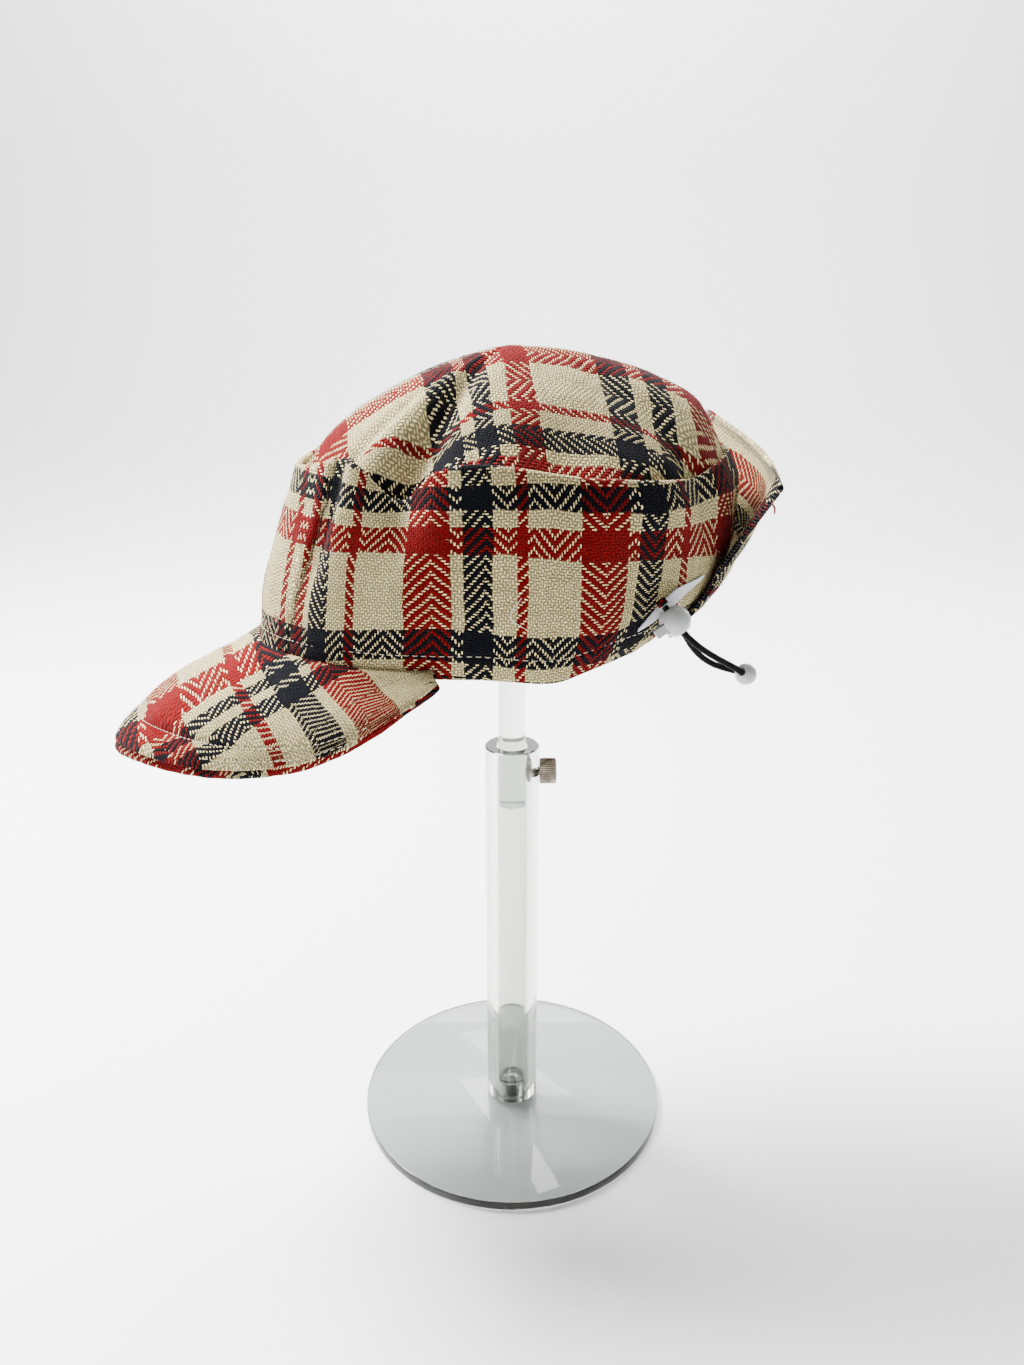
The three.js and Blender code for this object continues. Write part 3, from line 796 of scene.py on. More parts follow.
        # painted shade: the ground between the floats is darkened, the more so where it is pale
        depth = sheet.math("MULTIPLY", sheet.math("MULTIPLY_ADD", dull.outputs[0], *self.gap_shade_by_pale), shade)
        shaded_ground = sheet.mix(1.0, ground, sheet.grey(sheet.math("SUBTRACT", 1.0, depth)), "MULTIPLY")
        colour = sheet.mix(shown, shaded_ground, top)
        tones = []
        for number in (i, j):
            white = sheet.add("ShaderNodeTexWhiteNoise", noise_dimensions="1D")
            sheet.put(white.inputs["W"], number)
            tones.append(sheet.math("MULTIPLY_ADD", white.outputs[0], *self.yarn_tone))
        soft = sheet.math("MULTIPLY_ADD", fuzz, self.hair_tone, 1.0)
        cloud = sheet.math("SUBTRACT", sheet.noise(place, *self.cloud).outputs[0], 0.5)
        aged = sheet.math("MULTIPLY_ADD", cloud, self.cloud_tone, 1.0)
        light = sheet.math("MULTIPLY", sheet.math("MULTIPLY", *tones), sheet.math("MULTIPLY", soft, aged))
        shaded = sheet.mix(1.0, colour, sheet.grey(light), "MULTIPLY")
        out = sheet.add("NodeGroupOutput")
        sheet.put(out.inputs[0], shaded)
        sheet.put(out.inputs[1], height)
        sheet.put(out.inputs[2], hair.outputs[0])
        return group

    def material(self, name: str, shade: float = 0.8, relief: float = 0.4) -> Material:
        """The cloth's finish.

        Args:
            name: The material's name.
            shade: How dark the painted shade between the yarns is, 0 to 1.
            relief: The height of a yarn in millimetres.

        Returns:
            The material.
        """
        material, sheet, shader = new_material(name)
        cloth = sheet.add("ShaderNodeUVMap", uv_map="cloth")
        weave = sheet.add("ShaderNodeGroup")
        weave.node_tree = self.group()
        sheet.dress(weave, {"Cloth": cloth.outputs[0], "Place": sheet.place(), "Shade": shade})
        finish = {
            "Base Color": weave.outputs["Color"],
            "Roughness": sheet.between(weave.outputs["Fuzz"], *self.roughness),
            "Normal": sheet.bump(weave.outputs["Height"], relief),
            "Specular IOR Level": 0.06,
            "Sheen Weight": 0.03,
            "Sheen Roughness": 0.55,
        }
        sheet.dress(shader, finish)
        return material


@dataclass(frozen=True)
class Thread:
    """Sewing thread: two plies twisted together, seen as fine slanted bands, the grooves between the plies
    given painted shade.
    """

    name: str
    colour: Screen
    bands: float = 700.0
    shade: float = 0.55
    relief: float = 0.05
    sheen: float = 0.2

    def material(self) -> Material:
        """The thread's finish, banded along its length by waves in the piece's place."""
        material, sheet, shader = new_material(self.name)
        wave = sheet.add("ShaderNodeTexWave", bands_direction="DIAGONAL")
        sheet.put(wave.inputs["Vector"], sheet.place())
        sheet.put(wave.inputs["Scale"], self.bands)
        bands = wave.outputs["Fac"]
        base = linear(*self.colour)
        finish = {
            # painted shade: the grooves between the twisted plies darkened by the shade share
            "Base Color": sheet.mix(bands, darker(base, self.shade), base),
            "Roughness": sheet.between(bands, 0.0, 1.0, 0.5, 0.75),
            "Normal": sheet.bump(bands, self.relief),
            "Sheen Weight": self.sheen,
        }
        sheet.dress(shader, finish)
        return material


@dataclass(frozen=True)
class LabelWeave:
    """White woven ribbon: fine ribs across its length with painted shade in their hollows, slightly cool, a
    little uneven.
    """

    colour: Screen = (238, 239, 246)
    rib: float = 0.32
    pick: float = 0.45
    cloud: tuple = (160.0, 3.0)
    shade: float = 0.78
    relief: float = 0.05
    sheen: float = 0.15

    def material(self) -> Material:
        """The ribbon's finish."""
        material, sheet, shader = new_material("label_ribbon")
        along, across = sheet.cloth_map()
        ribs = sheet.math("SINE", sheet.math("MULTIPLY", along, 2 * math.pi / self.rib))
        picks = sheet.math("SINE", sheet.math("MULTIPLY", across, 2 * math.pi / self.pick))
        weave = sheet.math("MULTIPLY_ADD", sheet.math("MULTIPLY", ribs, picks), 0.25, 0.5)
        cloud = sheet.noise(sheet.place(), *self.cloud)
        base = linear(*self.colour)
        # partly random unevenness from the cloud, partly painted shade in the ribs' hollows
        half = sheet.math("MULTIPLY", weave, 0.5)
        tone = sheet.math("MULTIPLY_ADD", cloud.outputs[0], 0.5, half, clamp=True)
        finish = {
            "Base Color": sheet.mix(tone, darker(base, self.shade), base),
            "Roughness": sheet.between(weave, 0.2, 0.8, 0.5, 0.7),
            "Normal": sheet.bump(weave, self.relief),
            "Sheen Weight": self.sheen,
        }
        sheet.dress(shader, finish)
        return material


@dataclass(frozen=True)
class BraidedElastic:
    """Black braided elastic: crossing strands round the cord, with a faint sheen, and the strands' raised
    crowns painted lighter as a highlight.
    """

    colour: Screen = (2, 2, 2)
    # the strands' raised crowns: a painted highlight, lighter than the black cord
    strand: Screen = (9, 9, 10)
    lint: tuple = (900.0, 2.0)
    relief: float = 0.16
    gloss: float = 0.1
    sheen: float = 0.03

    def material(self) -> Material:
        """The braid's finish, from the cord's own map: U round it, V along it."""
        material, sheet, shader = new_material("braided_elastic")
        around, along = sheet.cloth_map()
        one, two = (
            sheet.math("SINE", sheet.math("MULTIPLY", sheet.math(step, around, along), 2 * math.pi))
            for step in ("ADD", "SUBTRACT")
        )
        height = sheet.math("MULTIPLY_ADD", sheet.math("MULTIPLY", one, two), 0.5, 0.5)
        lint = sheet.noise(sheet.place(), *self.lint).outputs[0]
        tone = sheet.math("MULTIPLY", height, lint)
        finish = {
            # painted highlight: the braid's crowns lighter by their height, broken up by lint noise
            "Base Color": sheet.mix(tone, linear(*self.colour), linear(*self.strand)),
            "Roughness": sheet.between(lint, 0.3, 0.7, 0.6, 0.85),
            "Normal": sheet.bump(height, self.relief),
            "Specular IOR Level": self.gloss,
            "Sheen Weight": self.sheen,
        }
        sheet.dress(shader, finish)
        return material


@dataclass(frozen=True)
class MouldedPlastic:
    """White moulded plastic, slightly milky, with a fine orange-peel skin and scuffs."""

    # a grey below the plastic's own white: painted shade, as the stopper and bead hang in the shade under
    # the cap's rear
    colour: Screen = (180, 182, 182)
    skin: tuple = (1200.0, 2.0)
    cloud: tuple = (120.0, 4.0)
    shade: float = 0.86
    relief: float = 0.02
    milkiness: float = 0.25
    milk_depth: float = 1.5
    coat: float = 0.15

    def material(self) -> Material:
        """The plastic's finish."""
        material, sheet, shader = new_material("moulded_plastic")
        place = sheet.place()
        skin = sheet.noise(place, *self.skin).outputs[0]
        cloud = sheet.noise(place, *self.cloud).outputs[0]
        base = linear(*self.colour)
        finish = {
            "Base Color": sheet.mix(cloud, darker(base, self.shade), base),
            "Roughness": sheet.between(cloud, 0.3, 0.7, 0.28, 0.5),
            "Normal": sheet.bump(skin, self.relief),
            "Subsurface Weight": self.milkiness,
            "Subsurface Scale": self.milk_depth * MM,
            "Coat Weight": self.coat,
        }
        sheet.dress(shader, finish)
        return material


@dataclass(frozen=True)
class ClearAcrylic:
    """Clear polished acrylic with a faint tint, fine wipe marks and a little dust."""

    name: str
    tint: Screen
    marks: float = 0.05
    polish: float = 0.012
    stretch: tuple = (1.0, 0.12, 0.3)
    slant: float = 0.6
    wipe: tuple = (420.0, 3.0)
    haze: tuple = (30.0, 3.0)
    shade: float = 0.975
    relief: float = 0.004
    ior: float = 1.49

    def material(self) -> Material:
        """The acrylic's finish."""
        material, sheet, shader = new_material(self.name)
        place = sheet.place()
        wipe = sheet.noise(sheet.stretched(place, self.stretch, self.slant), *self.wipe).outputs[0]
        haze = sheet.noise(place, *self.haze).outputs[0]
        base = linear(*self.tint)
        marks = sheet.math("MULTIPLY", wipe, haze)
        finish = {
            "Base Color": sheet.mix(haze, darker(base, self.shade), base),
            "Roughness": sheet.between(marks, 0.2, 0.45, self.polish, self.marks),
            "Normal": sheet.bump(wipe, self.relief),
            "Transmission Weight": 1.0,
            "IOR": self.ior,
        }
        sheet.dress(shader, finish)
        return material


@dataclass(frozen=True)
class BrushedSteel:
    """Warm brushed steel: fine turning marks round the axis, darker where it is handled."""

    name: str
    colour: Screen = (168, 158, 142)
    roughness: float = 0.3
    roughness_swing: float = 0.2
    stretch: tuple = (6.0, 0.4, 0.4)
    marks: tuple = (800.0, 3.0)
    grime: tuple = (240.0, 4.0)
    shade: float = 0.45
    relief: float = 0.02

    def material(self) -> Material:
        """The metal's finish."""
        material, sheet, shader = new_material(self.name)
        place = sheet.place()
        marks = sheet.noise(sheet.stretched(place, self.stretch), *self.marks).outputs[0]
        grime = sheet.noise(place, *self.grime).outputs[0]
        base = linear(*self.colour)
        clean = sheet.between(grime, 0.35, 0.6, 0.0, 1.0)
        low, high = self.roughness, self.roughness + self.roughness_swing
        finish = {
            "Base Color": sheet.mix(clean, darker(base, self.shade), base),
            "Roughness": sheet.between(marks, 0.3, 0.7, low, high),
            "Normal": sheet.bump(marks, self.relief),
            "Metallic": 1.0,
        }
        sheet.dress(shader, finish)
        return material


# The cap's forms


@dataclass(frozen=True)
class CapForm:
    """The cap's outer forms in millimetres, the ones its solids have.

    Angles are degrees from the front, -X, round by the near side, -Y. A place on the wall
    is an angle and a share of the wall's height.
    """

    cloth: float = 1.8
    rim: float = 254.0
    wall: float = 76.0
    front: float = 109.0
    rear: float = 96.0
    side: float = 71.0
    peak_top: float = 372.5
    lip_roll: float = 6.0
    top_slack: float = 1.6
    # share, power, share, power
    side_fall: tuple = (1.75, 2, -0.75, 3)
    front_fall: tuple = (0.8, 1.5, 0.2, 8)
    rear_fall: tuple = (0.6, 2, 0.4, 14)
    peak_reach: float = 64.0
    peak_half_width: float = 72.0
    peak_drop: float = 38.0
    peak_joint: float = 68.5
    peak_lap: float = 2.2
    peak_clearance: float = 3.6
    peak_swell: float = 4.5
    peak_spread: float = 2.5
    swell_falloff: float = 0.6
    flap_bow: tuple = (10.4, 0.0, -7.8)
    flap_tuck: float = 1.0
    flap_clearance: float = 4.0
    turn: float = 10.0
    # height, front, rear, side
    sections: tuple = (
        (0.0, 1.0, 0.77, 0.96), (0.14, 0.985, 0.89, 0.985), (0.32, 0.965, 0.97, 1.0),
        (0.55, 0.915, 1.0, 1.0), (0.8, 0.86, 1.0, 0.985), (1.0, 0.815, 0.955, 0.93),
    )
    # angle, rise
    rim_levels: tuple = (
        (0, 0.0), (45, -0.005), (75, 0.0), (92, -0.035), (108, 0.02), (120, 0.055), (132, 0.1),
        (155, 0.16), (180, 0.2),
    )
    lip_levels: tuple = (
        (0, 0.97), (20, 1.0), (42, 1.06), (60, 1.02), (75, 1.05), (103, 0.97), (132, 0.93), (150, 0.98),
        (165, 1.02), (180, 1.04),
    )
    # angle, spread, height, reach, lean, depth
    folds: tuple = (
        (35, 3.5, 0.8, 0.45, 6, 2.2), (42, 6, 0.85, 0.4, 6, -1.3), (56, 7, 1.0, 0.28, 0, 1.9),
        (138, 7, 0.85, 0.3, -14, 1.6), (118, 12, 0.35, 0.35, 20, 0.8), (15, 9, 0.5, 0.4, 0, -0.5),
        (222, 6, 0.8, 0.4, -8, 1.6), (295, 7, 0.9, 0.4, -6, 1.5), (328, 6, 0.75, 0.45, 4, -1.0),
    )
    # angle, spread, depth
    dips: tuple = ((53, 7, 0.17), (138, 6, 0.02), (295, 8, 0.07), (225, 7, 0.05))
    # share, drop
    droop: tuple = (
        (0.0, 1.05), (0.3, 0.98), (0.5, 1.0), (0.7, 0.915), (0.8, 0.75), (0.9, 0.46), (1.0, 0.06),
    )
    # side, base x, base y, base z, tip x, tip y, tip z
    flap_edges: tuple = (
        (-1, 0.585, -0.72, 0.11, 1.068, -0.61, 0.86), (0, 0.8, 0.0, 0.2, 1.15, 0.0, 1.0),
        (1, 0.6, 0.72, 0.17, 1.08, 0.68, 1.17),
    )
    # along, angle, height, width, bulge
    label_path: tuple = (
        (0.0, 117, 0.16, 0.15, 0.0), (0.33, 121.5, 0.25, 1.0, 0.3), (0.6, 125, 0.31, 0.9, 0.8),
        (0.8, 130, 0.345, 0.5, 0.5), (1.0, 137, 0.375, 0.15, 0.0),
    )
    label_width: float = 6.5
    label_bulge: float = 2.4
    label_thickness: float = 0.6

    def level(self, rows: tuple, angle: Array) -> Array:
        """A level round the crown; the near side's table is read back for the far side."""
        turned = np.mod(angle, 360.0)
        return read_table(rows, np.where(turned > 180, 360 - turned, turned))[..., 0]

    def rim_level(self, angle: Array) -> Array:
        """The height of the rim."""
        return self.rim + self.wall * self.level(self.rim_levels, angle)

    def lip_level(self, angle: Array) -> Array:
        """The height of the lip, less its dips."""
        dips = sum(depth * bell(turn_between(angle, at), spread) for at, spread, depth in self.dips)
        return self.rim + self.wall * (self.level(self.lip_levels, angle) - dips)

    def section(self, height: Array) -> Array:
        """The wall's reach to the front, the rear and the sides at a share of its height."""
        shares = read_table(self.sections, height) * [self.front, self.rear, self.side]
        return np.moveaxis(shares, -1, 0)

    def wall_point(self, angle: Array, height: Array) -> Array:
        """A point on the crown wall.

        The plan is an oval with its own reach to the front, rear and sides, and each fold
        pulls it in along its radius by a bell across the fold times a bell up it.
        """
        angle, height = np.broadcast_arrays(np.asarray(angle, float), np.asarray(height, float))
        c, s = np.cos(np.radians(angle)), np.sin(np.radians(angle))
        front, rear, side = self.section(height)
        folds = np.zeros(angle.shape)
        for middle, spread, level, reach, lean, depth in self.folds:
            across = bell(turn_between(angle, middle + lean * (height - level)), spread)
            folds += self.cloth * depth * across * bell(height - level, reach)
        reach = np.where(c > 0, front, rear)
        radius = np.hypot(reach * c, side * s)
        pull = 1 - folds / radius
        low = self.rim_level(angle)
        level = low + (self.lip_level(angle) - low) * height
        return as_points(-reach * c * pull, -side * s * pull, level)

    def top_point(self, angle: Array, out: Array) -> Array:
        """A point on the top panel.

        Its fall from the middle is a sum of two powers of the way out: one sum at the
        sides, and another at the front and the rear, blended by the cosine's square.
        """
        angle, out = np.broadcast_arrays(np.asarray(angle, float), np.asarray(out, float))
        edge = self.wall_point(angle, 1 - self.lip_roll / self.wall)
        reach = np.hypot(edge[..., 0], edge[..., 1])
        inset = (reach - self.cloth - self.top_slack) / reach
        along = np.cos(np.radians(angle))
        rounded, front, rear = (
            a * out**p + b * out**q for a, p, b, q in (self.side_fall, self.front_fall, self.rear_fall)
        )
        fall = rounded + (np.where(along > 0, front, rear) - rounded) * along * along
        level = self.peak_top - (self.peak_top - edge[..., 2]) * fall
        return as_points(edge[..., 0] * inset * out, edge[..., 1] * inset * out, level)

    def peak_point(self, side: Array, out: Array) -> Array:
        """A point on the peak, between its joint on the rim and its drooping oval edge.

        Between them it swells by 6.75 times the way out squared times the way left, which
        is 1 at two thirds of the way.
        """
        side, out = np.broadcast_arrays(np.asarray(side, float), np.asarray(out, float))
        rim = self.wall_point(self.peak_joint * side, 0.0)
        plan = np.hypot(rim[..., 0], rim[..., 1])
        stand = (plan + self.peak_clearance) / plan
        joint = as_points(rim[..., 0] * stand, rim[..., 1] * stand, rim[..., 2] + self.peak_lap)
        end = float(self.wall_point(self.peak_joint, 0.0)[0])
        sweep = side * np.pi / 2
        edge = as_points(
            end - (self.front + self.peak_reach + end) * np.cos(sweep),
            -self.peak_half_width * np.sin(sweep),
            self.rim - self.peak_drop * read_table(self.droop, np.abs(side))[..., 0],
        )
        swell = 6.75 * out * out * (1 - out)
        point = joint + (edge - joint) * out[..., None]
        point[..., 2] += swell * self.peak_swell * (1 - self.swell_falloff * side * side)
        point[..., 1] -= swell * self.peak_spread * side
        return point

    def clear_of_wall(self, point: Array, gap: float) -> Array:
        """Moves points out along the plan's radius until they are clear of the wall."""
        share = np.full(point.shape[:-1], 0.5)
        angle = share
        for _ in range(3):
            _, rear, side = self.section(share)
            angle = np.degrees(np.arctan2(-point[..., 1] / side, -point[..., 0] / rear))
            low = self.rim_level(angle)
            share = np.clip((point[..., 2] - low) / (self.lip_level(angle) - low), 0.0, 1.0)
        wall = self.wall_point(angle, share)
        wanted = np.hypot(wall[..., 0], wall[..., 1]) + gap
        own = np.hypot(point[..., 0], point[..., 1])
        push = np.maximum(1.0, wanted / own)[..., None]
        return np.concatenate([point[..., :2] * push, point[..., 2:]], axis=-1)

    def flap_point(self, side: Array, out: Array) -> Array:
        """A point on the neck flap: from under the rear rim to the turned-up edge."""
        side, out = np.broadcast_arrays(np.asarray(side, float), np.asarray(out, float))
        row = read_table(self.flap_edges, side)
        reach = [self.rear, self.side, self.wall]
        root = row[..., :3] * reach + [0.0, 0.0, self.rim - self.flap_tuck]
        tip = row[..., 3:] * reach + [0.0, 0.0, self.rim]
        bow = np.maximum(1 - side * side, 0) ** 1.5 * 4 * out * (1 - out)
        point = root + (tip - root) * out[..., None]
        return self.clear_of_wall(point + bow[..., None] * self.flap_bow, self.flap_clearance)

    def wall_frame(self, angle: Array, height: Array) -> tuple[Array, Array, Array, Array]:
        """A place on the wall: the point, and the ways along the rim, up and out."""
        point = self.wall_point(angle, height)
        along = unit(self.wall_point(angle + 0.5, height) - self.wall_point(angle - 0.5, height))
        up = unit(self.wall_point(angle, height + 0.01) - self.wall_point(angle, height - 0.01))
        return point, along, up, unit(np.cross(along, up))

    def place(self, point: Array) -> Array:
        """A cap's own point, turned as the cap is on the stand."""
        return turned_by(point, self.turn)


def surface_normals(points: Array, closed: bool = False) -> Array:
    """The normals of a grid surface: columns' way crossed with rows' way."""
    if closed:
        ring = np.concatenate([points[:, -1:], points, points[:, :1]], axis=1)
        along = ring[:, 2:] - ring[:, :-2]
    else:
        along = np.gradient(points, axis=1)
    return unit(np.cross(along, np.gradient(points, axis=0)))


def way_along(points: Array, axis: int) -> Array:
    """The distance gone along each line of a grid, from its first point."""
    step = np.linalg.norm(np.diff(points, axis=axis), axis=-1)
    start = np.zeros_like(np.take(step, [0], axis=axis))
    return np.concatenate([start, np.cumsum(step, axis=axis)], axis=axis)


@dataclass(frozen=True)
class Shell:
    """A cloth panel with rounded edges, made from its outer face, a grid of points.

    Each column becomes a closed loop: up the outer face, half a circle over the edge,
    down the inner face and half a circle back. The half circles keep the last edge's
    thickness as their diameter.
    """

    rolls: int = 7

    def loop(self, face: Array, normal: Array, thickness: Array) -> Array:
        """The loops' points, one loop to a column, as rows of the new grid."""
        half = thickness[..., None] / 2
        up_last = unit(face[-1] - face[-2])
        up_first = unit(face[0] - face[1])
        turn = np.linspace(0, np.pi, self.rolls + 2)[1:-1, None, None]
        top = face[-1] - normal[-1] * half[-1]
        over = top + half[-1] * (np.cos(turn) * normal[-1] + np.sin(turn) * up_last)
        low = face[0] - normal[0] * half[0]
        under = low + half[0] * (-np.cos(turn) * normal[0] + np.sin(turn) * up_first)
        inner = (face - normal * thickness[..., None])[::-1]
        return np.concatenate([face, over, inner, under])

    def through(self, face_map: Array) -> Array:
        """A map for the whole loop: cloth woven through has the same yarns on both faces.

        Args:
            face_map: U and V on the outer face's grid.

        Returns:
            U and V with one more row, for the place where the loop closes.
        """
        rolled = np.repeat(face_map[-1:], self.rolls, axis=0)
        back = np.repeat(face_map[:1], self.rolls + 1, axis=0)
        return np.concatenate([face_map, rolled, face_map[::-1], back])


# The cap


@dataclass
class CrownWall:
    """The crown's wall: one band of plaid, rolled over at the lip and hemmed at the rim."""

    form: CapForm
    wool: Material
    thread: Material
    columns: int = 440
    rows: int = 84
    lip_thickness: float = 3.4
    hem_thickness: float = 2.2
    seam_angle: float = 32.0
    seam_depth: float = 0.7
    seam_spread: float = 0.7
    # how far a seam leans in degrees over the wall's height, and the share it leans about
    seam_lean: float = 6.0
    seam_level: float = 0.8
    hem_height: float = 9.0
    hem_spread: float = 0.9
    hem_depth: float = 0.35
    # height, wavelength, seed
    slow_wave: tuple = (0.45, 34.0, 5)
    fine_wave: tuple = (0.12, 11.0, 8)
    stitches: int = 190
    stitch_share: float = 0.72
    stitch_depth: float = 0.25
    stitch_lift: float = 0.3
    stitch_radius: float = 0.17
    # way from the near side's middle in millimetres, yarn
    across: tuple = (
        (-95.0, 0), (-76.0, 22), (-53.5, 45), (-30.2, 64), (14.0, 109), (38.5, 128), (60.0, 149),
        (100.0, 187.8),
    )
    # angle, and the height in millimetres of yarns 0, 40 and 56
    upward: tuple = (
        (0, 256, 302, 319), (34, 256, 300.5, 318), (53, 260, 301.2, 315.5), (65, 261.5, 302, 317.5),
        (73, 261, 302.2, 317.8), (82, 258.6, 301.5, 318.2), (91, 257, 299.5, 317.5),
        (105, 257.3, 297.5, 315.2), (118, 262, 296, 314.2), (132, 265, 294.5, 314.4),
        (150, 268, 291, 316.5), (180, 271, 288, 318),
    )
    marks: tuple = (0, 40, 56)
    front_mirror: float = -106.0
    front_yarn: float = 17.0

    def face(self) -> tuple[Array, Array, Array]:
        """The outer face, its angles and its shares of the height, waved and seamed."""
        angle = np.arange(self.columns) * 360.0 / self.columns
        top = 1 - self.lip_thickness / 2 / self.form.wall
        share = np.linspace(0.0, top, self.rows)
        a, h = np.meshgrid(angle, share)
        point = self.form.wall_point(a, h)
        fade = smooth_step(0.0, 0.12, h) * smooth_step(1.0, 0.86, h)
        push = worn(point, self.slow_wave, self.fine_wave, fade)
        near, lean = self.seam_angle, self.seam_lean
        seams = sum(
            bell(turn_between(a, middle + slope * (h - self.seam_level)), self.seam_spread)
            for middle, slope in ((near, lean), (360 - near, -lean), (180.0, 0.0))
        )
        above_hem = point[..., 2] - self.form.rim_level(a) - self.hem_height
        push = push - seams * self.seam_depth - bell(above_hem, self.hem_spread) * self.hem_depth
        return point + self.outward(point) * push[..., None], a, h

    def outward(self, point: Array) -> Array:
        """The face's normals, out from the crown."""
        return facing(surface_normals(point, True), point * FLAT)

    def yarns(self, point: Array, angle: Array) -> tuple[Array, Array]:
        """The plaid's yarns on the outer face.

        U goes by the distance round the wall from its near side's middle, at the point's
        own height towards the front and at mid height towards the rear. V goes by height.
        """
        whole = np.concatenate([point, point[:, :1]], axis=1)
        turned = np.concatenate([angle, angle[:, :1] + 360.0], axis=1)
        folded = np.where(turned > 180, 360 - turned, turned)
        gone = way_along(whole, 1)

        def from_middle(way: Array) -> Array:
            half = self.columns // 2 + 1
            at = np.append(folded[0], 90.0)
            near = np.array([np.interp(at, turned[0, :half], row[:half]) for row in way])
            return near[:, :-1] - near[:, -1:]

        own = from_middle(gone)
        middle = np.broadcast_to(own[len(own) // 2], own.shape)
        ease = smooth_step(80.0, 100.0, folded)
        s = own * (1 - ease) + middle * ease
        body = read_line(self.across, s)
        front = self.front_yarn + np.abs(s - self.front_mirror)
        height = np.linspace(0, 1, len(point))[:, None]
        seam = self.seam_angle + self.seam_lean * (height - self.seam_level)
        u = np.where(folded < seam, front, body)
        level = read_table(self.upward, folded)
        z = whole[..., 2]
        low, mid, high = level[..., 0], level[..., 1], level[..., 2]
        zero, lower, upper = self.marks
        v_low = lower + (z - mid) * (lower - zero) / (mid - low)
        v_high = lower + (z - mid) * (upper - lower) / (high - mid)
        return u, np.where(z < mid, v_low, v_high)

    def nap(self) -> Nap:
        """The outer face, its normals and its yarn numbers, one column more than the face."""
        face, angle, _ = self.face()
        return face, self.outward(face), np.stack(self.yarns(face, angle), axis=-1)

    def build(self) -> Item:
        """Makes the wall."""
        face, normal, yarns = self.nap()
        share = self.face()[2]
        lip = smooth_step(0.86, 0.96, share)
        thickness = self.hem_thickness + (self.lip_thickness - self.hem_thickness) * lip
        shell = Shell()
        loop = shell.loop(face, normal, thickness)
        whole = np.concatenate([loop, loop[:1]])
        gone = way_along(np.concatenate([whole, whole[:, :1]], axis=1), 0)
        cloth = shell.through(yarns)
        rest = gone[len(face) :] - gone[len(face) - 1]
        cloth[len(face) :, :, 1] = yarns[-1, :, 1] + rest / Plaid.pitch
        points = self.form.place(loop)
        return dress_node("crown_wall", points, self.wool, cloth, close_columns=True, merge=False)

    def stitching(self) -> Item:
        """The hem's seam: a row of stitches round the wall above the rim."""
        middle = (np.arange(self.stitches) + 0.5) * 360.0 / self.stitches
        reach = 360.0 / self.stitches * self.stitch_share / 2

        def on_wall(angle: Array) -> tuple[Array, Array]:
            low = self.form.rim_level(angle)
            share = self.hem_height / (self.form.lip_level(angle) - low)
            point, _, _, out = self.form.wall_frame(angle, share)
            return point, out

        start, out = on_wall(middle - reach)
        end, _ = on_wall(middle + reach)
        item = stitches_object(
            "hem_stitches",
            self.form.place(start - out * self.stitch_depth),
            self.form.place(end - out * self.stitch_depth),
            self.form.place(out) * self.stitch_lift,
            self.stitch_radius,
            self.thread,
        )
        return finish_piece(item)


@dataclass
class CrownTop:
    """The crown's top panel, let in under the lip and held up by the stand's pad."""

    form: CapForm
    wool: Material
    columns: int = 360
    rings: int = 110
    thickness: float = 1.6
    # the first ring's share of the way out
    eye: float = 0.004
    # height, wavelength, seed
    slow_wave: tuple = (0.7, 42.0, 21)
    fine_wave: tuple = (0.1, 12.0, 22)
    # way out from the middle line, yarn
    across: tuple = ((0.0, 0), (38.5, 41.5), (51.0, 64), (60.0, 74), (90.0, 103))
    # place along the cap, yarns back from the start of the repeat
    along: tuple = (
        (-73.6, -33), (-31.0, 6), (-18.4, 22), (-1.5, 37), (37.5, 76), (55.0, 92), (75.6, 107),
        (90.0, 121),
    )
    middle_yarn: float = 128.0
    start_yarn: float = 12.0

    def nap(self) -> Nap:
        """The outer face, its normals and its yarn numbers."""
        angle = np.arange(self.columns) * 360.0 / self.columns
        a, o = np.meshgrid(angle, np.linspace(self.eye, 1.0, self.rings))
        face = self.form.top_point(a, o)
        normal = facing(surface_normals(face, True), UP)
        fade = smooth_step(0.12, 0.4, o) * smooth_step(1.0, 0.9, o)
        face = face + normal * worn(face, self.slow_wave, self.fine_wave, fade)[..., None]
        x, y = face[..., 0], face[..., 1]
        u = self.middle_yarn + np.sign(y) * read_line(self.across, np.abs(y))
        v = self.start_yarn - read_line(self.along, x)
        return face, normal, np.stack([u, v], axis=-1)

    def build(self) -> Item:
        """Makes the panel."""
        face, normal, yarns = self.nap()
        shell = Shell()
        loop = shell.loop(face, normal, np.full(face.shape[:2], self.thickness))
        keep = len(face) * 2 + shell.rolls
        cloth = shell.through(yarns)[:keep]
        cloth = np.concatenate([cloth, cloth[:, :1]], axis=1)
        points = self.form.place(self.with_poles(loop[:keep]))
        return dress_node("crown_top", points, self.wool, cloth, close_rows=False, close_columns=True)

    def with_poles(self, rows: Array) -> Array:
        """Draws the first and the last ring together into a point each."""
        closed = rows.copy()
        closed[0] = rows[0].mean(axis=0)
        closed[-1] = rows[-1].mean(axis=0)
        return closed


